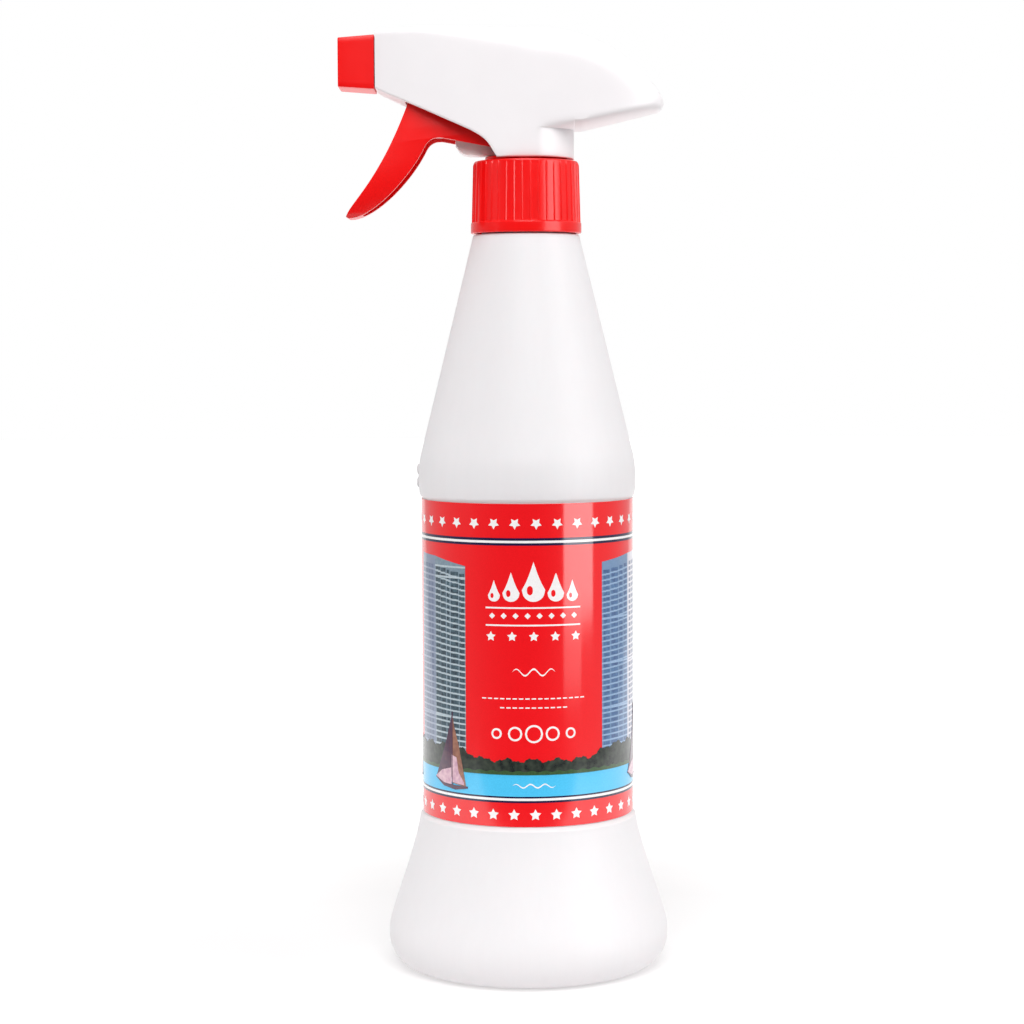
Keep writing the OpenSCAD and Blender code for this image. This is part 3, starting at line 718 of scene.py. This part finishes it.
def starTree():
    # stars round the film, or along a part of it, standing up or pointing down
    sizes = ("First", "Spacing", "Height", "Radius", "Tip Radius", "Notch Radius", "Turn", "Thickness")
    tree, given = startTree("starRow", [("Count", "Int")] + [(name, "Float") for name in sizes])
    number = addNode(tree, "GeometryNodeInputIndex").outputs[0]
    turn = addNode(tree, "ShaderNodeMath", {"operation": "MULTIPLY_ADD"},
                   {0: number, 1: given["Spacing"], 2: given["First"]}).outputs[0]
    known = {"turn": turn, "Radius": given["Radius"]}
    for result, operation, links in (("sine", "SINE", ("turn",)), ("cosine", "COSINE", ("turn",)),
                                     ("right", "MULTIPLY", ("sine", "Radius")),
                                     ("front", "MULTIPLY", ("cosine", "Radius"))):
        known[result] = addNode(tree, "ShaderNodeMath", {"operation": operation},
                                {i: known[key] for i, key in enumerate(links)}).outputs[0]
    forward = addNode(tree, "ShaderNodeMath", {"operation": "MULTIPLY", 1: -1.0}, {0: known["front"]})
    spot = addNode(tree, "ShaderNodeCombineXYZ",
                   links={"X": known["right"], "Y": forward.outputs[0], "Z": given["Height"]})
    points = addNode(tree, "GeometryNodePoints", links={"Count": given["Count"], "Position": spot.outputs[0]})
    upright = addNode(tree, "ShaderNodeCombineXYZ", {"X": math.pi / 2}, {"Y": given["Turn"], "Z": turn})
    star = addNode(tree, "GeometryNodeCurveStar", {"Points": 5},
                   {"Inner Radius": given["Notch Radius"], "Outer Radius": given["Tip Radius"]})
    filled = addNode(tree, "GeometryNodeFillCurve", {"mode": "NGONS"}, {"Curve": star.outputs[0]})
    thick = addNode(tree, "GeometryNodeExtrudeMesh", {"mode": "FACES", "Individual": False},
                    {"Mesh": filled.outputs[0], "Offset Scale": given["Thickness"]})
    under = addNode(tree, "GeometryNodeFlipFaces", links={"Mesh": filled.outputs[0]})
    solid = addNode(tree, "GeometryNodeJoinGeometry")
    tree.links.new(thick.outputs[0], solid.inputs[0])
    tree.links.new(under.outputs[0], solid.inputs[0])
    closed = addNode(tree, "GeometryNodeMergeByDistance", {"Distance": 1e-7}, {"Geometry": solid.outputs[0]})
    row = addNode(tree, "GeometryNodeInstanceOnPoints",
                  links={"Points": points.outputs[0], "Instance": closed.outputs[0], "Rotation": upright.outputs[0]})
    return endTree(tree, given, row.outputs[0])


def makeStars():
    tree = starTree()
    # count, first angle, spacing, height, tip radius, pointing down
    rows = {"label_stars_top": (32, 4.33, 11.25, 127.8, 1.62, True),
            "label_stars_foot": (32, 3.5, 11.25, 47.5, 1.66, False),
            "label_stars_front": (5, -19.9, 11.42, 96.8, 1.42, False),
            "label_stars_back": (5, 160.1, 11.42, 96.8, 1.42, False)}
    for name, (count, first, spacing, height, tip, down) in rows.items():
        piece = bpy.data.objects.new(name, bpy.data.meshes.new(name))
        scene.collection.objects.link(piece)
        runTree(piece, tree, {"Count": count, "First": math.radians(first), "Spacing": math.radians(spacing),
                              "Height": height * mm, "Radius": (filmRadius + 0.02) * mm,
                              "Tip Radius": tip * mm, "Notch Radius": 0.52 * tip * mm,
                              "Turn": math.pi / 2 if down else -math.pi / 2, "Thickness": 0.02 * mm,
                              "Material": finishes["filmWhite"]})
        place(piece, "bottle", "label_film")


# Plain drops, lozenges, dashes and bubbles where a maker would put words; places from the panel's middle
ornamentSizes = {
    "drops": ((0, 10), (-6.2, 7.4), (6.2, 7.4), (-11, 5.4), (11, 5.4)), "dropFoot": 106.4,
    "lozenges": 8, "lozengeSpacing": 3.3, "lozengeSize": 1.7, "lozengeHeight": 102.5,
    "waves": ((87, 0.9, 0.5, 2.5), (55.6, 0.5, 0.42, 3)), "waveHalf": 6,
    "dashRows": ((79.7, 17), (77.2, 11)), "dashSpacing": 1.75, "dashHalf": (0.6, 0.17),
    "bubbles": (1.5, 2.0, 2.5, 2.0, 1.5), "bubbleSpacing": 5.2, "bubbleHeight": 70, "bubbleLine": 0.55,
}


def makeOrnaments():
    s, plan = labelSizes, ornamentSizes
    white, red = [], []
    left, right = s["ruleSpan"]
    for side in (0, s["shift"]):
        centre = side + (left + right) / 2
        white += [inkPatch(side + left, side + right, rule, rule + s["ruleWidth"], 2) for rule in s["rules"]]
        for offset, size in plan["drops"]:
            white.append(inkDrop(centre + offset, plan["dropFoot"] + 0.32 * size, size, 2))
            red.append(inkDisc(centre + offset - 0.1 * size, plan["dropFoot"] - 0.1 + 0.32 * size, 0.085 * size, 3,
                               1.5))
        for k in range(plan["lozenges"]):
            along = centre + (k - (plan["lozenges"] - 1) / 2) * plan["lozengeSpacing"]
            white.append(inkLozenge(along, plan["lozengeHeight"], plan["lozengeSize"], 2))
        for z, dashes in plan["dashRows"]:
            across, up = plan["dashHalf"]
            for k in range(dashes):
                along = centre + (k - (dashes - 1) / 2) * plan["dashSpacing"]
                white.append(inkPatch(along - across, along + across, z - up, z + up, 2, 0.6))
        for k, radius in enumerate(plan["bubbles"]):
            along = centre + (k - 2) * plan["bubbleSpacing"]
            white.append(inkDisc(along, plan["bubbleHeight"], radius, 2))
            red.append(inkDisc(along, plan["bubbleHeight"], radius - plan["bubbleLine"], 3))
        for z, height, width, waves in plan["waves"]:
            white.append(inkWave(centre - plan["waveHalf"], centre + plan["waveHalf"], z, height, width, waves, 2))
    inkPiece("label_ornaments", white, "filmWhite")
    inkPiece("label_ornament_centres", red, "filmRed")


makeFilm()
makeStripes()
makeGreenery()
makeTowers()
makeBoats()
makeStars()
makeOrnaments()
print("label")


collarSizes = {
    "beadRadius": 15.6, "beadHeight": 3.1, "bodyRadius": 15.05, "topRadius": 14.62, "bore": 14.0, "hole": 9.6,
    "ringRadius": 11.5, "ribs": 40, "ribWidth": 0.42, "ribRise": 0.32, "threadPitch": 4.23,
}


def ribTree():
    # one rib set round the collar on each of a circle's points
    tree, given = startTree("gripRibs", (("Rib", "Object"), ("Count", "Int"), ("First", "Float")))
    number = addNode(tree, "GeometryNodeInputIndex").outputs[0]
    share = addNode(tree, "ShaderNodeMath", {"operation": "DIVIDE", 0: 2 * math.pi}, {1: given["Count"]})
    turn = addNode(tree, "ShaderNodeMath", {"operation": "MULTIPLY_ADD"},
                   {0: number, 1: share.outputs[0], 2: given["First"]})
    spin = addNode(tree, "ShaderNodeCombineXYZ", links={"Z": turn.outputs[0]})
    points = addNode(tree, "GeometryNodePoints", links={"Count": given["Count"]})
    rib = addNode(tree, "GeometryNodeObjectInfo", {"transform_space": "ORIGINAL"}, {"Object": given["Rib"]})
    ribs = addNode(tree, "GeometryNodeInstanceOnPoints",
                   links={"Points": points.outputs[0], "Instance": rib.outputs["Geometry"],
                          "Rotation": spin.outputs[0]})
    whole = addNode(tree, "GeometryNodeJoinGeometry")
    tree.links.new(given["Geometry"], whole.inputs[0])
    tree.links.new(ribs.outputs[0], whole.inputs[0])
    return endTree(tree, given, whole.outputs[0])


def makeCollar():
    s = collarSizes
    low, high = boxOf("collar")
    foot, top = low.z, high.z
    bead = foot + s["beadHeight"]
    outline = ([(s["bore"], foot + 0.3), (s["bore"] + 0.3, foot), (s["beadRadius"] - 0.3, foot)]
               + arc(s["beadRadius"] - 0.35, foot + 0.35, 0.35, -60, 0, 4)
               + arc(s["beadRadius"] - 0.35, bead - 0.35, 0.35, 0, 75, 5)
               + [(s["bodyRadius"] + 0.06, bead + 0.12), (s["bodyRadius"], bead + 0.5), (s["topRadius"], 227.4)]
               + arc(s["topRadius"] - 0.5, 227.4, 0.5, 10, 80, 6)
               + [(11.95, 228.1), (11.7, 228.15), (s["ringRadius"] + 0.05, 228.35), (s["ringRadius"], 228.6)]
               + arc(s["ringRadius"] - 0.3, top - 0.3, 0.3, 0, 90, 4)
               + [(s["hole"] + 0.2, top), (s["hole"], top - 0.2), (s["hole"], 226.6), (s["bore"], 226.75)])
    ribWidth, rise = s["ribWidth"], s["ribRise"]
    rings = []
    for z, radius, width in ((bead - 0.4, s["bodyRadius"] + 0.06, ribWidth), (bead + 0.2, s["bodyRadius"], ribWidth),
                             (226.6, s["topRadius"] + 0.01, ribWidth), (227.3, s["topRadius"] - 0.05, 0.8 * ribWidth),
                             (227.7, s["topRadius"] - 0.3, 0.5 * ribWidth)):
        out = radius + rise * (1.0 if z < 227 else 0.55)
        rings.append([(radius - 0.5, -0.85 * width, z), (radius, -0.85 * width, z), (out - 0.06, -0.35 * width, z),
                      (out, -0.15 * width, z), (out, 0.15 * width, z), (out - 0.06, 0.35 * width, z),
                      (radius, 0.85 * width, z), (radius - 0.5, 0.85 * width, z)])
    rib = makePiece("rib_pattern", lofted(rings), finishes["redCollar"], 60)
    thread = helixRidge(s["bore"] + 0.3, 12.95, 1.9, 0.8, 214.06, s["threadPitch"], 1.1)
    piece = makePiece("screw_collar", joined(turned(outline, 240), thread), finishes["redCollar"])
    runTree(piece, ribTree(), {"Rib": rib, "Count": s["ribs"], "First": math.radians(4.5),
                               "Material": finishes["redCollar"]})
    smoothed(piece, 35)
    bpy.data.objects.remove(rib)
    return place(piece, "collar", "red_pp_collar", "collar")


makeCollar()
print("collar")


shroudSizes = {
    "wall": 1.2, "skirtFoot": 228.5, "skirtBack": 13.5, "tailFoot": 236.5, "frontX": -42.0, "openFrom": -33.6,
    "frontEdge": 0.2, "barrelZ": 255.2, "barrelRadius": 4.24,
}


def shroudTop():
    return ([(-42.0, 264.6), (-26.8, 264.9)] + curve((1.3, 265), (10.4, 265.4), (27.5, 262.5), (38.3, 245.7), 40)
            + arc(36.3, 243.6, 2.3, 22, 0, 6))


def shroudFoot():
    s = shroudSizes
    back = s["skirtBack"]
    front = curve((-15.6, 236), (-12.8, 234.5), (-11.1, 233.6), (-9.6, 230.9), 12)
    lip = curve((-9.6, 230.9), (-9.1, 230.1), (-8.6, 229.2), (-8.1, s["skirtFoot"]), 4)[1:]
    tail = [(back + 0.001, s["tailFoot"]), (15.6, s["tailFoot"])] + arc(36.3, 243.6, 2.3, -70, 0, 10)
    return [(-42.0, 247.75)] + front + lip + [(back, s["skirtFoot"])] + tail


def shroudPlan():
    return (curve((-42, 8), (-39, 9.4), (-34, 10.8), (-28, 11.6), 12)
            + curve((-20, 12.4), (-8, 13.1), (6, 13.3), (16, 12.7), 16)
            + curve((22, 12.2), (32, 11), (38, 8.8), (38.65, 2.5), 24))


def reading(points):
    xs, values = zip(*points)
    return lambda x: float(np.interp(x, xs, values))


def shroudRing(x, inset, topAt, footAt, halfAt, opened):
    # the cross-section at x, from the crown down one side to the keel, and back up the other
    s = shroudSizes
    crown, keel, half = topAt(x) - inset, footAt(x) + inset, max(0.4, halfAt(x) - inset)
    back = s["skirtBack"] - inset
    if opened:
        keel = s["skirtFoot"] - 5
    elif inset > 0 and x > back:
        keel = max(footAt(x), s["tailFoot"]) + inset
    deep = crown - keel
    blend = min(1.0, max(0.0, (x + 30) / 34))
    crownDrop = min(3.0 + 6.5 * blend, 0.62 * deep)
    power = 2 / (4.2 - 1.6 * blend)
    skirt = half
    if x <= back:
        turnLow = max(s["tailFoot"] + inset, keel + 1.6)
        turnHigh = turnLow + min(2.8, 0.3 * (crown - crownDrop - turnLow))
        if x > 0:
            skirt = min(half, math.sqrt(max(0, back ** 2 - x ** 2)))
    else:
        turnLow = keel
        turnHigh = keel + min(2.8, 0.33 * deep)
        skirt = 0.0
    side = []
    for k in range(19):
        a = math.pi / 2 * (1 - k / 18)
        side.append((half * math.cos(a) ** power, crown - crownDrop + crownDrop * math.sin(a) ** power))
    for share in (0.35, 0.7, 0.9, 0.97):  # rows down the flat flank, so the turn below doesn't shade it
        side.append((half, crown - crownDrop + (turnHigh - crown + crownDrop) * share))
    for k in range(1, 11):
        a = math.pi / 2 * k / 10
        side.append((skirt + (half - skirt) * math.cos(a) ** 0.8, turnHigh + (turnLow - turnHigh) * math.sin(a) ** 0.8))
    edge = min(0.5, 0.3 * skirt, 0.3 * (turnLow - keel))
    for k in range(1, 5):
        side.append((skirt, turnLow + (keel + edge - turnLow) * k / 4))
    for k in range(1, 4):
        a = math.pi / 2 * k / 3
        side.append((skirt - edge + edge * math.cos(a), keel + edge - edge * math.sin(a)))
    side.append((0.0, keel))
    return [(x, y, z) for y, z in side] + [(x, -y, z) for y, z in side[-2:0:-1]]


def shroudBody(name, inset, start, end, opened=(0, 0)):
    topAt, footAt, halfAt = (reading(points) for points in (shroudTop(), shroudFoot(), shroudPlan()))
    back = shroudSizes["skirtBack"] - inset
    xs = list(np.linspace(start, -28, 12)) + list(np.linspace(-26, -16, 8)) + list(np.linspace(-15.6, -8.1, 16))
    xs += [back * math.sin(a) for a in np.radians(np.linspace(-28, 89, 40))] + [back, back + 0.02]
    xs += list(np.linspace(back + 0.2, back + 2.1, 8)) + list(np.linspace(back + 3, end - 5, 16))
    xs += [end - 5 + 5 * math.sin(a) for a in np.radians(np.linspace(10, 89.5, 16))]
    if opened[1] > opened[0]:
        xs += [opened[0], opened[0] + 0.01]
    rings = []
    for x in sorted(set(xs)):
        isOpen = opened[0] < x <= back if opened[1] > opened[0] else False
        ease = 0.0
        if inset == 0 and x < start + shroudSizes["frontEdge"]:
            t = 1 - (x - start) / shroudSizes["frontEdge"]
            ease = shroudSizes["frontEdge"] * (1 - math.sqrt(max(0, 1 - t * t)))
        scaleFoot = (lambda v, ease=ease: footAt(v) + ease)
        rings.append(shroudRing(x, inset, lambda v, ease=ease: topAt(v) - ease, scaleFoot,
                                lambda v, ease=ease: halfAt(v) - ease, isOpen))
    return makePiece(name, lofted(rings), finishes["white"], 35, 0.0008)


def makeShroud():
    s = shroudSizes
    low, high = boxOf("shroud")
    shell = shroudBody("sprayer_shroud", 0.0, low.x, high.x)
    hollow = shroudBody("shroud_hollow", s["wall"], low.x + 1.4, high.x - s["wall"], (s["openFrom"], s["skirtBack"]))
    combine(shell, hollow, "DIFFERENCE")
    barrel = [(y, z + s["barrelZ"]) for y, z in arc(0, 0, s["barrelRadius"], 0, 360, 48)[:-1]]
    combine(shell, makePiece("barrel_cut", prism(barrel, low.x - 1, low.x + 3, "X")), "DIFFERENCE")
    smoothed(shell, 32)
    return place(shell, "sprayer", "white_pp", "shroud")


makeShroud()
print("shroud")


triggerSizes = {
    "halfWidth": 8.4, "sideWall": 1.4, "frontWall": 2.0, "pivotX": -27.0, "pivotZ": 255.2, "earRadius": 3.4,
    "pinBore": 1.66, "edge": 0.7, "noseX": -30.4, "noseZ": 238.2, "noseRadius": 1.5,
}


def triggerSide(s):
    return (curve((-32.6, 244.3), (-41.1, 221.5), (-49, 216.6), (-50.5, 212.4), 40)
            + curve((-49.7, 212), (-42.8, 212), (-32.3, 223.4), (-28.4, 231.2), 36)
            + curve((-28.2, 231.6), (-27, 233.9), (-25.4, 234.2), (-23.5, 234.1), 12)
            + [(-9.5, 231.5), (-9.2, 240), (-22, 247.5)]
            + arc(s["pivotX"], s["pivotZ"], s["earRadius"], -20, 190, 28))


def triggerFront(half, tip, inset=0.0):
    right = ([(half, 262), (half, 236)] + curve((half, 228), (half, 219), (tip + 0.7, 216), (tip, 213.5 + inset), 14)
             + curve((tip, 213.5 + inset), (tip - 0.5, 212.2 + inset), (tip - 1.6, 211.5 + inset),
                     (tip - 2.6, 211.3 + inset), 6)[1:])
    return right + [(-y, z) for y, z in right[::-1]]


def makeTrigger():
    s = triggerSizes
    half, wall, front = s["halfWidth"], s["sideWall"], s["frontWall"]
    piece = makePiece("trigger_lever", prism(triggerSide(s), -half - 1, half + 1, "Y"), finishes["red"])
    combine(piece, makePiece("trigger_width", prism(triggerFront(half, 6.2), -60, 0, "X")), "INTERSECT")
    bevelled(piece, s["edge"], 3, 50)
    channel = ([(0, 262), (-33, 262), (-31, 246)]
               + curve((-32.6 + front, 244.3), (-41.1 + front, 221.5), (-47.6 + front, 216.6), (-47.2, 213.6), 40)
               + [(-30, 205), (0, 205)])
    hollow = makePiece("trigger_channel", prism(channel, -half, half, "Y"))
    combine(hollow, makePiece("channel_width", prism(triggerFront(half - wall, 6.2 - wall, wall), -70, 10, "X")),
            "INTERSECT")
    combine(piece, hollow, "DIFFERENCE")
    hole = [(x, z) for x, z in arc(s["pivotX"], s["pivotZ"], s["pinBore"], 0, 360, 40)[:-1]]
    combine(piece, makePiece("pin_bore", prism(hole, -half - 1, half + 1, "Y")), "DIFFERENCE")
    nose = [(x, z) for x, z in arc(s["noseX"], s["noseZ"], s["noseRadius"], 0, 360, 32)[:-1]]
    combine(piece, makePiece("nose_bar", prism(nose, wall - half - 0.4, half - wall + 0.4, "Y")), "UNION")
    smoothed(piece, 32)
    return place(piece, "trigger", "red_pp", "trigger")


makeTrigger()
print("trigger")


nozzleSizes = {
    "backHalf": 7.6, "frontHalf": 6.9, "corner": 0.5, "edge": 0.3, "frontX": -52.4, "backX": -42.25, "axisZ": 255.2,
    "bore": 4.27, "grooveRadius": 4.7, "coneRadius": 3.0, "orifice": 0.4, "floorX": -47.0,
}


def squareRing(x, half, corner, axisZ, steps=24):
    # a square with round corners, starting at the middle of its right side
    ring = []
    for i in range(4 * steps):
        a = 2 * math.pi * i / (4 * steps)
        c, t = math.cos(a), math.sin(a)
        reach = half / max(abs(c), abs(t))
        y, z = reach * c, reach * t
        over = Vector((max(0, abs(y) - half + corner), max(0, abs(z) - half + corner)))
        if over.x > 0 and over.y > 0:
            over = over.normalized() * corner
            y = math.copysign(half - corner + over.x, y)
            z = math.copysign(half - corner + over.y, z)
        ring.append((x, y, axisZ + z))
    return ring


def roundRing(x, radius, axisZ, steps=24):
    angles = [2 * math.pi * i / (4 * steps) for i in range(4 * steps)]
    return [(x, radius * math.cos(a), axisZ + radius * math.sin(a)) for a in angles]


def makeNozzle():
    s = nozzleSizes
    z, back, front, corner, edge = s["axisZ"], s["backX"], s["frontX"], s["corner"], s["edge"]
    rings = [roundRing(back, s["bore"], z), squareRing(back, s["backHalf"] - 0.12, corner, z),
             squareRing(back - 0.04, s["backHalf"] - 0.04, corner, z),
             squareRing(back - 0.12, s["backHalf"], corner, z),
             squareRing(front + edge, s["frontHalf"], corner, z)]
    for a in np.radians((22, 45, 68, 90)):
        rings.append(squareRing(front + edge * (1 - math.sin(a)), s["frontHalf"] - edge * (1 - math.cos(a)), corner, z))
    rings += [roundRing(front, s["coneRadius"] + 1.1, z), roundRing(front + 0.12, s["coneRadius"] + 0.95, z),
              roundRing(front + 0.12, s["coneRadius"] + 0.1, z), roundRing(front + 0.25, s["coneRadius"], z),
              roundRing(-50.1, s["orifice"] + 0.25, z), roundRing(-50.0, s["orifice"], z),
              roundRing(s["floorX"], s["orifice"], z), roundRing(s["floorX"], s["bore"], z),
              roundRing(-44.6, s["bore"], z), roundRing(-44.5, s["grooveRadius"], z),
              roundRing(-43.3, s["grooveRadius"], z), roundRing(-43.2, s["bore"], z)]
    piece = makePiece("nozzle", lofted(rings, closed=True), finishes["red"])
    return place(piece, "nozzle", "red_pp", "nozzle_cap")


makeNozzle()
print("nozzle")


def springTree():
    # a wire run along a helix and closed at both ends
    sizes = ("Turns", "Radius", "Length", "Wire Radius")
    tree, given = startTree("coilSpring", [(name, "Float") for name in sizes] + [("Steps", "Int")])
    helix = addNode(tree, "GeometryNodeCurveSpiral",
                    links={"Resolution": given["Steps"], "Rotations": given["Turns"], "Start Radius": given["Radius"],
                           "End Radius": given["Radius"], "Height": given["Length"]})
    wire = addNode(tree, "GeometryNodeCurvePrimitiveCircle", {"Resolution": 12}, {"Radius": given["Wire Radius"]})
    body = addNode(tree, "GeometryNodeCurveToMesh", {"Fill Caps": True},
                   {"Curve": helix.outputs[0], "Profile Curve": wire.outputs[0]})
    return endTree(tree, given, body.outputs[0])


def makeSprings():
    tree = springTree()
    # node: turns, wire radius, joint that shortens it, how much of it is left at the joint's limit, axis
    springs = {"return_spring": (10, 0.3, "piston_stroke", 0.67, (1, 0, 0)),
               "outlet_spring": (5, 0.2, "outlet_ball_lift", 0.83, (0, 0, 1))}
    for node, (turns, wire, joint, keep, axis) in springs.items():
        low, high = boxOf(node)
        length = (high - low).dot(Vector(axis)) - 2 * wire
        radius = (high.y - low.y) / 2 - wire
        name = node + "_coil"
        piece = bpy.data.objects.new(name, bpy.data.meshes.new(name))
        scene.collection.objects.link(piece)
        runTree(piece, tree, {"Turns": turns, "Radius": radius * mm, "Length": length * mm, "Wire Radius": wire * mm,
                              "Steps": 28, "Material": finishes["wire"]})
        start = (low + high) / 2
        start = Vector((low.x + wire, start.y, start.z)) if axis[0] else Vector((start.x, start.y, low.z + wire))
        turn = Matrix.Rotation(math.pi / 2, 4, "Y") if axis[0] else Matrix.Identity(4)
        piece.data.transform(Matrix.Translation(start * mm) @ turn)
        smoothed(piece, 60)
        place(piece, "sprayer", "steel_wire", node)
        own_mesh(piece)


makeSprings()
print("springs")


# CAD pieces that keep their shape, each with the finish it is given
keptNodes = {
    "pump_body": "natural", "piston": "natural", "piston_cup": "rubber", "neck_gasket": "foam",
    "tube_retainer": "natural", "outlet_seat": "natural", "inlet_ball": "ball", "outlet_ball": "ball",
    "dip_tube": "clear", "swirl_insert": "natural", "nozzle_seal": "rubber",
}
for node, finish in keptNodes.items():
    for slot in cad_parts[node].material_slots:
        slot.material = finishes[finish]
print("kept CAD pieces", len(keptNodes))


def paintedGlowFloor():
    # white acrylic sweep with a painted glow: matt, its emission rises away from the object so it is brighter there,
    # and the glow fills the shade so it is almost without shadows
    material, tree, shader, spot = startMaterial("lit_white_acrylic")
    cloud = noiseAt(tree, spot, 60)
    colour = addNode(tree, "ShaderNodeMix", {"data_type": "RGBA", 6: linearColour("#C6C5C5"),
                                             7: linearColour("#C2C1C1")}, {0: cloud})
    tree.links.new(colour.outputs[2], shader.inputs["Base Color"])
    # painted glow: emission strength grows with distance from the floor's middle, filling in the floor's shade and the
    # fall-off of the key light
    away = addNode(tree, "ShaderNodeVectorMath", {"operation": "LENGTH"}, {0: spot})
    glow = addNode(tree, "ShaderNodeMapRange", {"From Min": 0.1, "From Max": 0.4, "To Min": 0.4, "To Max": 0.9},
                   {"Value": away.outputs["Value"]})
    tree.links.new(glow.outputs[0], shader.inputs["Emission Strength"])
    setShader(shader, {"Emission Color": linearColour("#FFFFFF"), "Roughness": 0.8, "Specular IOR Level": 0.1})
    material.cycles.emission_sampling = "NONE"
    return material


stageSizes = {"frontHalf": 300, "apron": 220, "backHalf": 2000, "depth": 4000, "lens": 87.7, "tilt": 86.18,
              "roll": -0.22, "spot": (-0.0043, -0.708, 0.1763)}


def makeFloor():
    # a small apron in front, so that upright faces mirror the darker room, and a wide sweep behind
    front, near, back, depth = (stageSizes[key] for key in ("frontHalf", "apron", "backHalf", "depth"))
    points = [(-front, -near, 0), (front, -near, 0), (back, depth, 0), (-back, depth, 0)]
    floor = makePiece("floor", (points, [[0, 1, 2, 3]]), paintedGlowFloor())


def softbox(name, spot, target, width, height, power, diffuse=True, gloss=True):
    light = bpy.data.lights.new(name, "AREA")
    light.shape = "RECTANGLE"
    light.size = width
    light.size_y = height
    light.energy = power
    lamp = bpy.data.objects.new(name, light)
    scene.collection.objects.link(lamp)
    lamp.visible_diffuse = diffuse
    lamp.visible_glossy = gloss
    lamp.location = spot
    lamp.rotation_euler = (Vector(target) - Vector(spot)).to_track_quat("-Z", "Y").to_euler()
    return lamp


def makeRoom():
    # white room that is dim in front and brightest behind and above; the background itself is seen pure white
    world = bpy.data.worlds.new("studio")
    world.use_nodes = True
    scene.world = world
    tree = world.node_tree
    tree.nodes.clear()
    direction = addNode(tree, "ShaderNodeTexCoord").outputs["Generated"]
    lean = addNode(tree, "ShaderNodeVectorMath", {"operation": "DOT_PRODUCT", 1: (0.02, 0.3, 0.12)}, {0: direction})
    strength = addNode(tree, "ShaderNodeMath", {"operation": "ADD", 1: 0.4}, {0: lean.outputs["Value"]})
    room = addNode(tree, "ShaderNodeBackground", {"Color": linearColour("#FFFFFF")}, {"Strength": strength.outputs[0]})
    seen = addNode(tree, "ShaderNodeBackground", {"Color": linearColour("#FFFFFF"), "Strength": 1.0})
    path = addNode(tree, "ShaderNodeLightPath")
    both = addNode(tree, "ShaderNodeMixShader", {}, {0: path.outputs["Is Camera Ray"], 1: room.outputs[0],
                                                     2: seen.outputs[0]})
    addNode(tree, "ShaderNodeOutputWorld", links={"Surface": both.outputs[0]})


def makeLight():
    # a high key and side fills light the form; the right boxes and left strips only draw streaks in the gloss
    softbox("key_softbox", (0, -0.9, 1.1), (0, 0, 0.12), 1.0, 1.0, 15.9)
    softbox("left_fill", (-0.85, -0.15, 0.55), (0, 0, 0.25), 0.7, 0.4, 1.6, gloss=False)
    softbox("right_fill", (0.85, -0.15, 0.55), (0, 0, 0.25), 0.7, 0.4, 2.6, gloss=False)
    softbox("right_softbox", (0.5, -0.34, 0.337), (0, 0, 0.337), 0.38, 0.6, 2.6, diffuse=False)
    softbox("right_softbox_foot", (0.455, -0.406, 0.018), (0, 0, 0.018), 0.22, 0.038, 0.03, diffuse=False)
    softbox("left_strip_front", (-0.89, -0.45, 0.38), (0, 0, 0.38), 0.02, 0.6, 0.06, diffuse=False)
    softbox("left_strip_back", (-0.92, -0.39, 0.38), (0, 0, 0.38), 0.02, 0.6, 0.03, diffuse=False)


def makeCamera():
    camera = bpy.data.cameras.new("camera")
    camera.lens = stageSizes["lens"]
    camera.sensor_width = 36
    camera.clip_start = 0.01
    view = bpy.data.objects.new("camera", camera)
    scene.collection.objects.link(view)
    spot = Matrix.Translation(stageSizes["spot"])
    tilt = Matrix.Rotation(math.radians(stageSizes["tilt"]), 4, "X")
    roll = Matrix.Rotation(math.radians(stageSizes["roll"]), 4, "Z")
    view.matrix_world = spot @ tilt @ roll
    scene.camera = view


makeFloor()
makeRoom()
makeLight()
makeCamera()
scene.view_settings.view_transform = "Standard"
print("stage")
